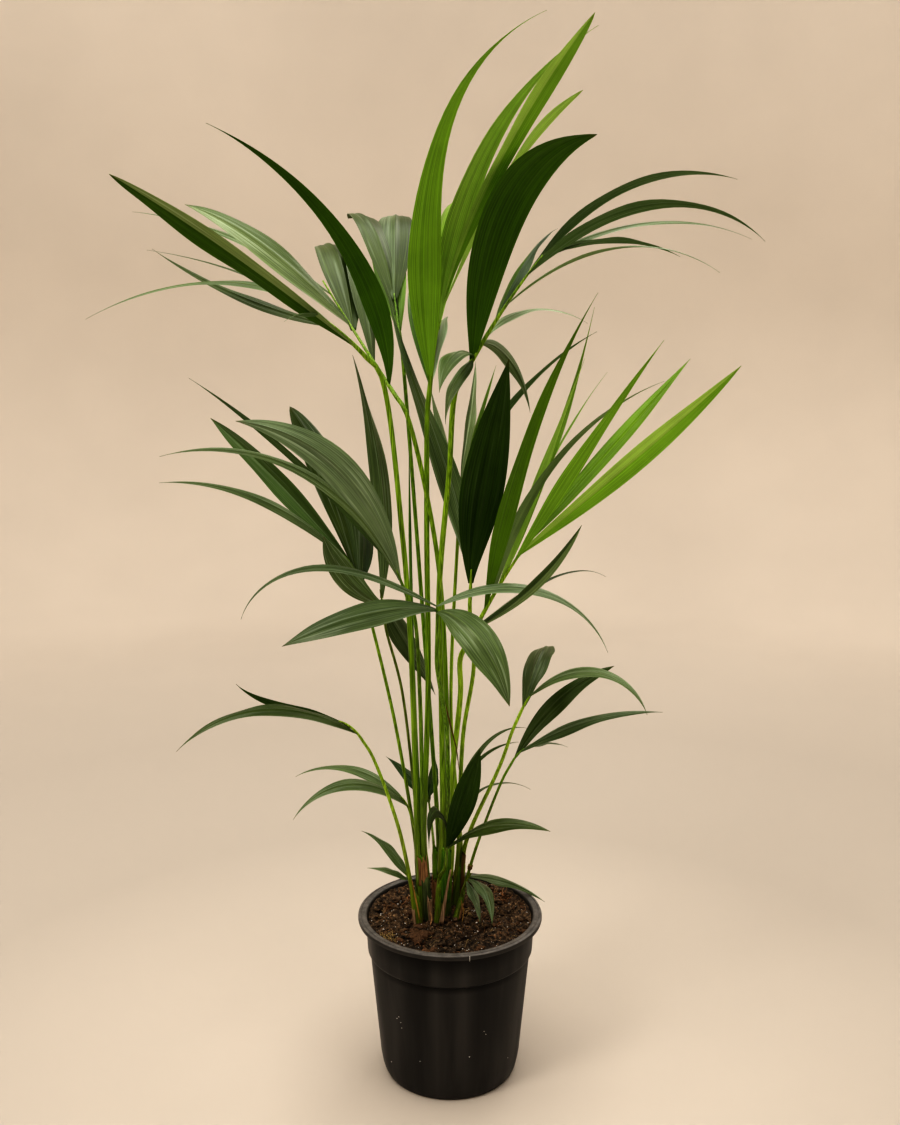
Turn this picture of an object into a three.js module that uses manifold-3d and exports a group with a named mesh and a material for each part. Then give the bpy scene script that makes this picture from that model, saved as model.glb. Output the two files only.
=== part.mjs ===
// Kentia palm in a black nursery pot.
//
// A clump of young palms rises from one pot. Each short sheathed stem carries a few stalks,
// and each stalk ends in a frond: a rib with long leaflets that spread, arch and droop.
//
// Millimetres, +Z up. The origin is the centre of the pot's flat underside, +X is to the
// viewer's right and +Y points away from the viewer.
import * as THREE from 'three';
import { mergeVertices } from 'three/addons/utils/BufferGeometryUtils.js';
import Module from 'manifold-3d';

const wasm = await Module();
wasm.setup();

// ---------------------------------------------------------------------------- sizes

const GAP = 0.3; // clearance between pieces that touch on the real plant

const POT = {
  height: 178,
  rimRadius: 98.5,
  rimHeight: 5.5,
  rimFlat: 8,
  collarTop: 90, // radius of the collar just under the rim
  collarBottom: 87.6,
  collarFloor: 139, // height at which the collar ends
  stepFloor: 132.5, // height at which the step meets the body
  bodyTop: 84.8,
  bodyBottom: 74.6,
  heelHeight: 20, // height of the rounded heel
  footRadius: 69.8,
  wall: 2,
  floor: 3,
  drainHoles: 8,
  drainRadius: 5,
  drainCircle: 54,
  facets: 48,
};

const SOIL = {
  top: 166,
  flatRadius: 66,
  edgeRise: 3, // how far the surface is banked up against the pot's wall
  facets: 48,
};

const STEM_FLARE = 1.2; // root flare: radius at the soil over radius of the sheath
const STEM_FLARE_HEIGHT = 12;
const STEM_FACETS = 12;
const STALK_FACETS = 8;
const STALK_STEPS = 8;
const STALK_LEAD = 18; // how far a stalk first follows its stem, and last its frond's rib
const STALK_FLATTEN = 0.86; // stalks are a little flatter front to back
const RIB_FACETS = 6;
const RIB_STEPS = 5;
const RIB_END = 0.8; // radius of a rib at its last leaflet

const BLADE_STEP = 32; // length of blade to one section, between the fewest and the most
const BLADE_FEWEST = 4;
const BLADE_MOST = 8;
const BLADE_ROOT = 0.12; // width where a leaflet leaves the rib, over its full width
const BLADE_FOLD = 0.16; // how far the midrib stands above the edges, over the half width
const BLADE_THICKNESS = 0.0125; // thickness over length
const BLADE_MIN_THICKNESS = 1.8;
const BEND = 1.4; // a leaflet's droop grows with this power of the way along it
const BELLY = 0.35; // where a leaflet is widest, as a fraction of its length

// ---------------------------------------------------------------------------- stems

// foot: where the stem stands on the soil [x, y]
// top: centre of its flat upper end [x, y, z]
// radius: of the sheath at the top, seat: radius of the ring on which the stalks stand
const STEMS = {
  1: { foot: [-24, 6], top: [-29, 8, 230], radius: 7.0, seat: 3.8 },
  2: { foot: [-15, -6], top: [-12, -10, 209], radius: 3.2, seat: 0 },
  3: { foot: [-8, 15], top: [-4, 14, 238], radius: 7.8, seat: 4.7 },
  4: { foot: [8, 36], top: [11, 36, 212], radius: 6.2, seat: 3.3 },
  5: { foot: [5, 0], top: [11, 8, 184], radius: 4.4, seat: 2.3 },
  6: { foot: [-33, -6], top: [-36, -7, 189], radius: 4.8, seat: 2.6 },
  7: { foot: [-30, 28], top: [-33, 30, 220], radius: 5.6, seat: 3.2 },
  8: { foot: [-14, 38], top: [-15, 41, 224], radius: 5.0, seat: 2.8 },
};

// ---------------------------------------------------------------------------- fronds

// stem, seat: which stem the stalk stands on, and its direction on the ring in degrees
// girth: radius of the stalk at its foot and at the frond
// way: points [x, y, z] the stalk passes on its way up, where it isn't straight
// head: where the stalk ends and the frond begins [x, y, z]
// rib: [bearing, rise, length, droop] of the frond's rib
// leaflets: [at, bearing, rise, length, width, droop, sweep, roll, bend, belly]
//   at       fraction of the rib where the leaflet leaves it
//   bearing  compass direction from +X toward +Y, and rise above the horizontal, in degrees
//   droop    how far the rise has fallen at the tip, and sweep how far the bearing has turned
//   roll     turn of the blade about its own midrib, 0 with the blade's width level
//   bend, belly  only where they differ from BEND and BELLY
const FRONDS = {
  high_left: {
    stem: 3, seat: 90, girth: [2.6, 2.2], head: [-54, 20, 725], rib: [138, 47, 160, -2],
    way: [[-4, 19, 419], [-14, 21, 568]],
    leaflets: [
      [0.1, -158, 96, 330, 26, 83, 26, -40, 0.8, 0.27],
      [0.62, -139, 41, 205, 32, 27, -46, 55, 3.0, 0.45],
      [0.88, 154, 32, 255, 14, 26, 15, 20],
      [0.57, 99, 39, 280, 46, 60, 10, 5, 2.2, 0.5],
      [0.3, 101, 48, 260, 34, 60, 0, -30, 2.2, 0.5],
    ],
  },
  long_left: {
    stem: 1, seat: 180, girth: [3.0, 2.4], head: [-82, 0, 764], rib: [-160, 46, 85, 21],
    way: [[-41, 7, 476], [-48, 4, 581]],
    leaflets: [
      [0.17, -156, 36, 280, 26, 10, 15, -30, 1.4, 0.55],
      [0.6, 158, 50, 275, 12, 78, 20, 25, 0.6],
      [0.53, 146, 12, 220, 16, -22, 30, 30],
      [0.72, -118, 12, 55, 10, 42, -10, -20],
      [0.45, 126, 26, 275, 10, 18, 45, 5],
    ],
  },
  high_back: {
    stem: 8, seat: 0, girth: [2.3, 1.9], head: [-54, 110, 788], rib: [103, 53, 55, -3],
    leaflets: [
      [0.47, 103, 48, 260, 38, 60, 10, -10, 2.2, 0.55],
      [0.85, 92, 43, 260, 44, 60, 0, 0, 2.2, 0.5],
      [0.1, 101, 48, 240, 36, 60, 0, 15, 2.2, 0.45],
    ],
  },
  tall_crown: {
    stem: 1, seat: 60, girth: [3.0, 2.6], head: [-21, 30, 730], rib: [0, 84, 80, 6],
    way: [[-23, 14, 420], [-24, 22, 599]],
    leaflets: [
      [0.15, -105, 71, 430, 34, 64, 58, -15, 1.4, 0.28],
      [0.85, -68, 79, 365, 26, 68, 13, 5, 0.8, 0.3],
      [1.0, -60, 67, 375, 20, 50, -12, -5, 0.6, 0.6],
      [1.0, 20, 66, 275, 20, 34, 0, 35, 2.2, 0.65],
      [0.78, 84, 49, 310, 36, 60, 0, 25, 2.2, 0.5],
      [0.1, 98, 51, 190, 32, 60, 0, -25, 2.2, 0.45],
      [0.1, 86, 35, 210, 26, 60, 0, 40, 2.2, 0.45],
    ],
  },
  high_right: {
    stem: 3, seat: 180, girth: [3.0, 2.6], head: [15, -20, 751], rib: [9, 60, 135, 10],
    way: [[-9, 6, 412], [-11, -2, 531], [-1, -12, 650]],
    leaflets: [
      [0.1, -62, 78, 265, 48, 82, 29, 15, 2.2, 0.58],
      [0.72, 30, 52, 280, 16, 66, -20, 45],
      [0.82, -16, 44, 250, 18, 90, 0, 30],
      [0.95, 34, 24, 280, 12, 42, -10, -20],
      [1.0, 34, 20, 160, 14, 46, -25, 25],
      [0.55, -32, 38, 225, 10, 74, 15, 5],
      [0.28, 60, 34, 140, 14, 66, -55, -10],
      [0.12, -118, 34, 115, 24, 80, 20, 5, 0.6],
      [0.1, -116, -24, 80, 20, 72, -30, -5],
      [0.23, 54, 18, 110, 18, 98, -25, -75, 0.6],
      [0.42, 66, 40, 190, 20, 25, -5, 20, 2.2],
    ],
  },
  young_back: {
    stem: 4, seat: 90, girth: [1.9, 1.7], head: [10, 50, 616], rib: [0, 88, 25, 0],
    way: [[1, 42, 388]],
    leaflets: [
      [0.33, 128, 62, 120, 18, -10, 0, -10, 2.2],
      [0.75, 50, 76, 135, 18, 18, 35, 30],
      [0.62, 62, 58, 150, 14, 6, 0, 30],
      [0.82, 18, 60, 215, 12, 32, -15, 45],
    ],
  },
  twin_dark: {
    stem: 4, seat: 210, girth: [2.3, 2.0], head: [21, 5, 527], rib: [-80, 80, 25, 0],
    way: [[14, 26, 366], [25, 16, 447]],
    leaflets: [
      [0.4, -55, 94, 245, 44, 36, -18, 20, 0.5, 0.42],
      [0.62, 104, 64, 320, 26, -16, 87, 25, 3.0],
    ],
  },
  bright_right: {
    stem: 3, seat: 0, girth: [3.1, 2.6], head: [19, 3, 475], rib: [-3, 64, 150, 13],
    way: [[2, 12, 321], [11, 6, 420]],
    leaflets: [
      [0.25, -58, 74, 345, 22, 18, 25, 10],
      [0.42, 44, 58, 315, 16, -18, -15, 5],
      [0.52, 64, 50, 280, 10, 8, -25, 25],
      [0.64, -30, 58, 270, 18, 6, 0, 35],
      [0.82, 26, 44, 265, 20, 2, 0, -25, 1.4, 0.45],
      [0.71, -12, 40, 285, 24, -4, 10, 65, 1.4, 0.5],
      [0.36, -36, 76, 295, 16, 60, 60, 35],
      [0.1, -42, 32, 185, 13, -24, -5, 30, 1.4, 0.5],
      [0.12, 34, 26, 180, 11, 58, -5, 0, 3.0],
      [0.46, 8, 70, 245, 14, 4, 20, 65],
    ],
  },
  droop_front: {
    stem: 3, seat: 270, girth: [2.4, 2.1], head: [-13, -40, 479], rib: [-90, 84, 45, 5],
    way: [[-2, -4, 316], [-4, -18, 392]],
    leaflets: [
      [0.85, -49, 33, 135, 37, 106, 12, -30, 0.5, 0.45],
      [0.9, -162, 30, 160, 30, 58, -20, 45, 0.4, 0.45],
      [1.0, 176, 28, 220, 15, 100, 25, 20, 2.2],
      [1.0, 26, 20, 210, 17, 90, -35, -25],
    ],
  },
  mid_left: {
    stem: 1, seat: -60, girth: [2.2, 1.9], head: [-42, -20, 524], rib: [-152, 69, 60, 9],
    way: [[-31, -6, 415]],
    leaflets: [
      [0.4, -142, 72, 245, 38, 66, -20, 75, 1.4, 0.45],
      [0.62, 148, 44, 295, 14, 12, 25, -60],
      [0.23, -142, 62, 305, 16, 76, -15, 45],
    ],
  },
  dark_left: {
    stem: 7, seat: 180, girth: [1.9, 1.6], head: [-94, 60, 518], rib: [-158, 75, 50, 36],
    way: [[-60, 42, 378]],
    leaflets: [
      [0.8, -158, 44, 220, 16, 46, 5, 40],
      [0.68, 174, 50, 220, 26, 16, -20, -80, 1.4, 0.5],
      [0.35, 120, 68, 205, 38, 20, 35, 25, 1.4, 0.58],
      [0.15, 86, 40, 230, 34, 70, 35, -30, 2.2],
    ],
  },
  leaning_left: {
    stem: 7, seat: 90, girth: [1.6, 1.4], head: [-71, 50, 496], rib: [180, 83, 25, 2],
    way: [[-52, 46, 411]],
    leaflets: [
      [0.62, 68, 76, 265, 26, 4, 100, -15, 1.4, 0.55],
      [0.4, 50, -54, 140, 28, 12, -15, -90, 3.0],
      [0.35, -166, 18, 100, 26, -52, 0, 90, 0.6, 0.5],
    ],
  },
  bow_left: {
    stem: 6, seat: 180, girth: [2.2, 1.5], head: [-89, -30, 379], rib: [-161, 60, 35, 38],
    way: [[-54, -16, 280]],
    leaflets: [
      [0.53, 146, 12, 135, 14, -36, 75, -65, 3.0],
      [0.28, -160, 34, 200, 20, 76, 10, 20],
    ],
  },
  small_left: {
    stem: 7, seat: 270, girth: [1.6, 1.3], head: [-42, 18, 279], rib: [-170, 75, 25, 26],
    leaflets: [
      [0.57, 150, 38, 135, 16, 66, 40, 15],
      [0.47, -150, 46, 150, 19, 102, -5, 25],
    ],
  },
  foot_left: {
    stem: 6, seat: 0, girth: [1.5, 1.3], head: [-42, 0, 209], rib: [180, 69, 15, 6],
    leaflets: [
      [0.68, 148, 56, 70, 15, 42, 20, 10],
      [0.33, -126, 40, 60, 13, 30, -35, 25],
    ],
  },
  bow_right: {
    stem: 4, seat: 330, girth: [2.3, 1.6], head: [71, -40, 412], rib: [0, 67, 20, 12],
    way: [[23, 12, 268], [52, -18, 349]],
    leaflets: [
      [0.4, 74, 30, 130, 28, 50, 0, 10, 2.2, 0.6],
      [1.0, -12, 44, 145, 15, 112, -25, -30],
    ],
  },
  low_right: {
    stem: 5, seat: 90, girth: [1.7, 1.3], head: [65, 0, 345], rib: [0, 62, 20, 28],
    way: [[30, 8, 253]],
    leaflets: [
      [0.38, 36, 52, 145, 22, 30, -40, -30, 1.4, 0.5],
      [0.72, -24, 36, 165, 17, 32, 0, -30],
      [1.0, 62, -4, 90, 10, 24, -20, -5],
    ],
  },
  low_front: {
    stem: 2, seat: 0, girth: [2.2, 1.8], head: [-4, -30, 252], rib: [-64, 77, 25, 0],
    leaflets: [
      [0.5, -54, 64, 145, 26, 8, -15, 20, 3.0, 0.45],
      [0.5, -48, 42, 150, 18, 46, 10, -35, 1.4, 0.45],
      [0.93, 66, 52, 125, 12, 84, -65, 15],
      [0.8, 54, 84, 140, 13, 84, -45, 65],
      [0.65, -140, 94, 105, 15, 190, 55, 50],
      [0.93, 52, 70, 155, 12, 86, -45, -15, 3.0],
    ],
  },
  tiny_back: {
    stem: 8, seat: 180, girth: [1.5, 1.2], head: [-22, 60, 266], rib: [180, 84, 25, 6],
    leaflets: [
      [0.75, 136, 30, 70, 18, 10, 10, 10, 3.0],
      [0.42, 104, 42, 55, 14, 20, 55, -5],
      [0.65, 76, 38, 55, 18, -4, 10, 30],
    ],
  },
  foot_right: {
    stem: 5, seat: -90, girth: [1.5, 1.3], head: [16, 4, 206], rib: [0, 66, 15, 7],
    leaflets: [
      [0.7, 50, -18, 105, 18, 18, -60, -15],
      [0.53, -52, 10, 80, 18, 60, -40, 10],
      [0.3, -62, -18, 50, 15, 62, -10, 25],
    ],
  },
};

// the one unopened leaf, a thin spear
const SPEAR = { stem: 7, seat: 0, girth: [1.7, 1.6], tip: [-42, 30, 674] };

// ---------------------------------------------------------------------------- materials

const finish = (color, roughness) => new THREE.MeshStandardMaterial({
  color,
  roughness,
  metalness: 0,
});

const COLOURS = {
  pot: '#22201e',
  soil: '#3a2518',
  stem: '#6f7a2c',
  stalk: '#6a8f1c',
  young: '#5b8f1e',
  grown: '#2f5420',
  dark: '#1d3a12',
};

const FROND_COLOUR = {
  tall_crown: COLOURS.young,
  bright_right: COLOURS.young,
  twin_dark: COLOURS.dark,
  dark_left: COLOURS.dark,
  leaning_left: COLOURS.dark,
  tiny_back: COLOURS.dark,
};

// ---------------------------------------------------------------------------- helpers

const radians = THREE.MathUtils.degToRad;

function direction(bearing, rise) {
  const b = radians(bearing);
  const r = radians(rise);
  return new THREE.Vector3(
    Math.cos(r) * Math.cos(b),
    Math.cos(r) * Math.sin(b),
    Math.sin(r),
  );
}

function geometryFrom(points, triangles) {
  const geometry = new THREE.BufferGeometry();
  const flat = points.flatMap((p) => [p.x, p.y, p.z]);
  geometry.setAttribute('position', new THREE.Float32BufferAttribute(flat, 3));
  geometry.setIndex(triangles.flat());
  return geometry;
}

// A closed skin over rings of equal size, each ring counter-clockwise seen from its end. Its
// diagonals start from the even columns, so the two faces of a twisted blade stay parallel.
function skin(rings) {
  const size = rings[0].length;
  const points = rings.flat();
  const triangles = [];
  for (let ring = 0; ring + 1 < rings.length; ring += 1) {
    for (let i = 0; i < size; i += 1) {
      const a = ring * size + i;
      const b = ring * size + ((i + 1) % size);
      if (i % 2 === 0) {
        triangles.push([a, b, b + size], [a, b + size, a + size]);
      } else {
        triangles.push([a, b, a + size], [b, b + size, a + size]);
      }
    }
  }
  const last = (rings.length - 1) * size;
  for (let i = 1; i + 1 < size; i += 1) {
    triangles.push([0, i + 1, i], [last, last + i, last + i + 1]);
  }
  return geometryFrom(points, triangles);
}

// A round limb along a line of points; radius(s) is its radius at the fraction s, and its
// last ring faces along lastHeading.
function limb(points, radius, facets, { flatten = 1, lastHeading = null } = {}) {
  const rings = [];
  let side = null;
  points.forEach((point, i) => {
    const ahead = points[Math.min(i + 1, points.length - 1)];
    const behind = points[Math.max(i - 1, 0)];
    const isLast = i === points.length - 1;
    const along = (isLast && lastHeading) || ahead.clone().sub(behind).normalize();
    side = side ?? new THREE.Vector3(1, 0, 0);
    side = side.clone().addScaledVector(along, -side.dot(along)).normalize();
    const front = along.clone().cross(side);
    const r = radius(i / (points.length - 1));
    const ring = [];
    for (let k = 0; k < facets; k += 1) {
      const turn = (2 * Math.PI * k) / facets;
      ring.push(point.clone()
        .addScaledVector(side, r * Math.cos(turn))
        .addScaledVector(front, r * flatten * Math.sin(turn)));
    }
    rings.push(ring);
  });
  return skin(rings);
}

function toManifold(geometry) {
  const bare = geometry.clone();
  bare.deleteAttribute('normal');
  bare.deleteAttribute('uv');
  const welded = mergeVertices(bare, 1e-4);
  return new wasm.Manifold(new wasm.Mesh({
    numProp: 3,
    vertProperties: Float32Array.from(welded.getAttribute('position').array),
    triVerts: Uint32Array.from(welded.index.array),
  }));
}

function toGeometry(solid) {
  const mesh = solid.getMesh();
  const geometry = new THREE.BufferGeometry();
  const positions = [];
  for (let i = 0; i < mesh.vertProperties.length; i += mesh.numProp) {
    positions.push(...mesh.vertProperties.slice(i, i + 3));
  }
  geometry.setAttribute('position', new THREE.Float32BufferAttribute(positions, 3));
  geometry.setIndex(Array.from(mesh.triVerts));
  return geometry;
}

function fuse(geometries) {
  const solids = geometries.map(toManifold);
  return toGeometry(solids.reduce((sum, solid) => sum.add(solid)));
}

// Fusing leaflets can leave a loose scrap or seal off a tiny hollow: keep the one outer shell.
function outerShell(geometry) {
  const position = geometry.getAttribute('position');
  const index = geometry.index.array;
  const owner = Array.from({ length: position.count }, (_, i) => i);
  const find = (i) => {
    let root = i;
    while (owner[root] !== root) {
      owner[root] = owner[owner[root]];
      root = owner[root];
    }
    return root;
  };
  for (let i = 0; i < index.length; i += 3) {
    owner[find(index[i])] = find(index[i + 1]);
    owner[find(index[i + 1])] = find(index[i + 2]);
  }
  const shells = new Map();
  const corner = (i) => new THREE.Vector3().fromBufferAttribute(position, index[i]);
  for (let i = 0; i < index.length; i += 3) {
    const key = find(index[i]);
    const shell = shells.get(key) ?? { volume: 0, triangles: [] };
    shell.volume += corner(i).dot(corner(i + 1).cross(corner(i + 2))) / 6;
    shell.triangles.push(index[i], index[i + 1], index[i + 2]);
    shells.set(key, shell);
  }
  const largest = [...shells.values()].reduce((a, b) => (b.volume > a.volume ? b : a));
  const used = [...new Set(largest.triangles)];
  const place = new Map(used.map((vertex, i) => [vertex, i]));
  const points = used.map((vertex) => new THREE.Vector3().fromBufferAttribute(position, vertex));
  return geometryFrom(points, largest.triangles.map((vertex) => place.get(vertex)));
}

// ---------------------------------------------------------------------------- pot and soil

function potGeometry() {
  const inner = (radius) => radius - POT.wall;
  const rimFloor = POT.height - POT.rimHeight;
  const profile = [
    [0, 0],
    [POT.footRadius - 1.5, 0],
    [POT.footRadius, 1.5],
    [POT.bodyBottom, POT.heelHeight],
    [POT.bodyTop, POT.stepFloor],
    [POT.collarBottom, POT.collarFloor],
    [POT.collarTop, rimFloor],
    [POT.rimRadius - 1, rimFloor],
    [POT.rimRadius, rimFloor + 1.5],
    [POT.rimRadius, POT.height - 1.5],
    [POT.rimRadius - 1.5, POT.height],
    [POT.rimRadius - POT.rimFlat, POT.height],
    [inner(POT.collarTop) + 0.6, POT.height - 2],
    [inner(POT.collarTop), rimFloor],
    [inner(POT.collarBottom), POT.collarFloor],
    [inner(POT.bodyTop), POT.stepFloor],
    [inner(POT.bodyBottom), POT.heelHeight],
    [inner(POT.footRadius), POT.floor],
    [0, POT.floor],
  ].map(([r, z]) => new THREE.Vector2(r, z));
  const shell = new THREE.LatheGeometry(profile, POT.facets);
  shell.rotateX(Math.PI / 2);
  let solid = toManifold(shell);
  for (let i = 0; i < POT.drainHoles; i += 1) {
    const turn = (2 * Math.PI * (i + 0.5)) / POT.drainHoles;
    const hole = new THREE.CylinderGeometry(POT.drainRadius, POT.drainRadius, 4 * POT.floor, 12);
    hole.rotateX(Math.PI / 2);
    hole.translate(POT.drainCircle * Math.cos(turn), POT.drainCircle * Math.sin(turn), 0);
    solid = solid.subtract(toManifold(hole));
  }
  return toGeometry(solid);
}

function soilGeometry() {
  const fit = POT.wall + GAP;
  const edgeHeight = SOIL.top + SOIL.edgeRise;
  const up = (edgeHeight - POT.collarFloor) / (POT.height - POT.rimHeight - POT.collarFloor);
  const edgeRadius = POT.collarBottom + (POT.collarTop - POT.collarBottom) * up - fit;
  const profile = [
    [0, POT.floor + GAP],
    [POT.footRadius - fit - 0.4, POT.floor + GAP],
    [POT.bodyBottom - fit, POT.heelHeight],
    [POT.bodyTop - fit - 0.1, POT.stepFloor],
    [POT.collarBottom - fit, POT.collarFloor + 0.4],
    [edgeRadius, edgeHeight],
    [SOIL.flatRadius, SOIL.top],
    [0, SOIL.top],
  ].map(([r, z]) => new THREE.Vector2(r, z));
  const mound = new THREE.LatheGeometry(profile, SOIL.facets);
  mound.rotateX(Math.PI / 2);
  return toGeometry(toManifold(mound));
}

// ---------------------------------------------------------------------------- stems and stalks

function stemGeometry(stem) {
  const foot = new THREE.Vector3(stem.foot[0], stem.foot[1], SOIL.top + GAP);
  const top = new THREE.Vector3(...stem.top);
  const height = top.z - foot.z;
  const levels = [0, 4, STEM_FLARE_HEIGHT, height * 0.6, height];
  const rings = levels.map((level) => {
    const centre = foot.clone().lerp(top, level / height);
    const spread = Math.max(0, 1 - level / STEM_FLARE_HEIGHT) ** 1.5;
    const r = stem.radius * (1 + (STEM_FLARE - 1) * spread);
    return Array.from({ length: STEM_FACETS }, (_, k) => {
      const turn = (2 * Math.PI * k) / STEM_FACETS;
      return new THREE.Vector3(centre.x + r * Math.cos(turn), centre.y + r * Math.sin(turn), centre.z);
    });
  });
  return skin(rings);
}

// Where a stalk stands: on the ring of its stem's flat top, just clear of it.
function seatOf({ stem, seat }) {
  const { top, seat: ring } = STEMS[stem];
  const turn = radians(seat);
  return new THREE.Vector3(
    top[0] + ring * Math.cos(turn),
    top[1] + ring * Math.sin(turn),
    top[2] + GAP,
  );
}

function stemDirection({ stem }) {
  const { foot, top } = STEMS[stem];
  return new THREE.Vector3(top[0] - foot[0], top[1] - foot[1], top[2] - SOIL.top).normalize();
}

// A stalk leaves its stem along the stem and reaches the frond along the frond's rib.
function stalkGeometry(frond) {
  const start = seatOf(frond);
  const heading = direction(frond.rib[0], frond.rib[1]);
  const end = new THREE.Vector3(...frond.head).addScaledVector(heading, -GAP);
  const lead = Math.min(STALK_LEAD, start.distanceTo(end) / 4);
  const curve = new THREE.CatmullRomCurve3([
    start,
    start.clone().addScaledVector(stemDirection(frond), lead),
    ...(frond.way ?? []).map((point) => new THREE.Vector3(...point)),
    end.clone().addScaledVector(heading, -lead),
    end,
  ]);
  const points = curve.getSpacedPoints(STALK_STEPS);
  const [wide, thin] = frond.girth;
  const radius = (s) => wide + (thin - wide) * s;
  const shape = { flatten: STALK_FLATTEN, lastHeading: heading };
  return levelFoot(limb(points, radius, STALK_FACETS, shape), start.z, STALK_FACETS);
}

// The foot of a stalk is cut level, to stand on the flat top of its stem.
function levelFoot(geometry, height, facets) {
  const position = geometry.getAttribute('position');
  for (let i = 0; i < facets; i += 1) {
    position.setZ(i, height);
  }
  return geometry;
}

// ---------------------------------------------------------------------------- fronds

function ribPath([bearing, rise, length, droop], head, steps) {
  const points = [head.clone()];
  for (let i = 0; i < steps; i += 1) {
    const s = (i + 0.5) / steps;
    const step = direction(bearing, rise - droop * s ** BEND);
    points.push(points[i].clone().addScaledVector(step, length / steps));
  }
  return points;
}

function pointAt(points, s) {
  const place = s * (points.length - 1);
  const i = Math.min(Math.floor(place), points.length - 2);
  return points[i].clone().lerp(points[i + 1], place - i);
}

// Width of a leaflet along its length: quickly full, then a long taper to a fine tip.
function fullness(s, belly) {
  if (s < belly) {
    return BLADE_ROOT + (1 - BLADE_ROOT) * Math.sin((Math.PI / 2) * (s / belly)) ** 1.1;
  }
  const u = (s - belly) / (1 - belly);
  const shoulder = 1.5 + 4 * (belly - BELLY);
  const taper = 1.25 - 2 * (belly - BELLY);
  return (1 - u ** shoulder) ** taper;
}

// A leaflet is a thin blade folded along its midrib, one closed chevron section after another.
function leafletGeometry(root, leaflet) {
  const [, bearing, rise, length, width, droop, sweep, roll] = leaflet;
  const [bend, belly] = [leaflet[8] ?? BEND, leaflet[9] ?? BELLY];
  const thickness = Math.max(BLADE_MIN_THICKNESS, BLADE_THICKNESS * length);
  const turned = radians(roll);
  const steps = THREE.MathUtils.clamp(Math.round(length / BLADE_STEP), BLADE_FEWEST, BLADE_MOST);
  const rings = [];
  const centre = root.clone();
  for (let i = 0; i <= steps; i += 1) {
    const s = i / steps;
    const heading = bearing + sweep * s;
    const lift = rise - droop * s ** bend;
    const along = direction(heading, lift);
    const level = direction(heading - 90, 0);
    const upright = level.clone().cross(along);
    const across = level.clone().multiplyScalar(Math.cos(turned))
      .addScaledVector(upright, Math.sin(turned));
    const face = upright.clone().multiplyScalar(Math.cos(turned))
      .addScaledVector(level, -Math.sin(turned));
    const half = Math.max(0.35, 0.5 * width * fullness(s, belly));
    const thick = 0.5 * thickness * (1 - 0.7 * s ** 2);
    const fold = -BLADE_FOLD * half;
    rings.push([
      centre.clone().addScaledVector(across, -half).addScaledVector(face, fold),
      centre.clone().addScaledVector(face, thick),
      centre.clone().addScaledVector(across, half).addScaledVector(face, fold),
      centre.clone().addScaledVector(face, -thick),
    ]);
    const ahead = (i + 0.5) / steps;
    const step = direction(bearing + sweep * ahead, rise - droop * ahead ** bend);
    centre.addScaledVector(step, length / steps);
  }
  return skin(rings);
}

function frondGeometry(frond) {
  const head = new THREE.Vector3(...frond.head);
  const rib = ribPath(frond.rib, head, RIB_STEPS);
  const thin = frond.girth[1];
  const parts = [limb(rib, (s) => thin + (RIB_END - thin) * s, RIB_FACETS)];
  for (const leaflet of frond.leaflets) {
    parts.push(leafletGeometry(pointAt(rib, leaflet[0]), leaflet));
  }
  return outerShell(fuse(parts));
}

function spearGeometry() {
  const start = seatOf(SPEAR);
  const tip = new THREE.Vector3(...SPEAR.tip);
  const curve = new THREE.QuadraticBezierCurve3(
    start,
    start.clone().addScaledVector(stemDirection(SPEAR), 0.5 * start.distanceTo(tip)),
    tip,
  );
  const [wide, thin] = SPEAR.girth;
  const radius = (s) => (s < 0.8 ? wide + (thin - wide) * s : thin * (1.08 - s) / 0.28);
  return levelFoot(limb(curve.getPoints(10), radius, RIB_FACETS), start.z, RIB_FACETS);
}

// ---------------------------------------------------------------------------- assembly

const palm = new THREE.Group();
palm.name = 'kentia_palm';

function addPiece(name, geometry, material) {
  const mesh = new THREE.Mesh(geometry, material);
  mesh.name = name;
  palm.add(mesh);
}

addPiece('pot', potGeometry(), finish(COLOURS.pot, 0.42));
addPiece('soil', soilGeometry(), finish(COLOURS.soil, 0.95));

for (const [number, stem] of Object.entries(STEMS)) {
  addPiece(`stem_${number}`, stemGeometry(stem), finish(COLOURS.stem, 0.6));
}

for (const [name, frond] of Object.entries(FRONDS)) {
  const colour = FROND_COLOUR[name] ?? COLOURS.grown;
  addPiece(`stalk_${name}`, stalkGeometry(frond), finish(COLOURS.stalk, 0.45));
  addPiece(`frond_${name}`, frondGeometry(frond), finish(colour, 0.38));
}

addPiece('spear_leaf', spearGeometry(), finish(COLOURS.grown, 0.45));

export default palm;
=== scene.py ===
import random
from math import cos, exp, hypot, pi, radians, sin, sqrt

import bmesh
import bpy
import numpy as np
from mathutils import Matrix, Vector, noise


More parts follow.
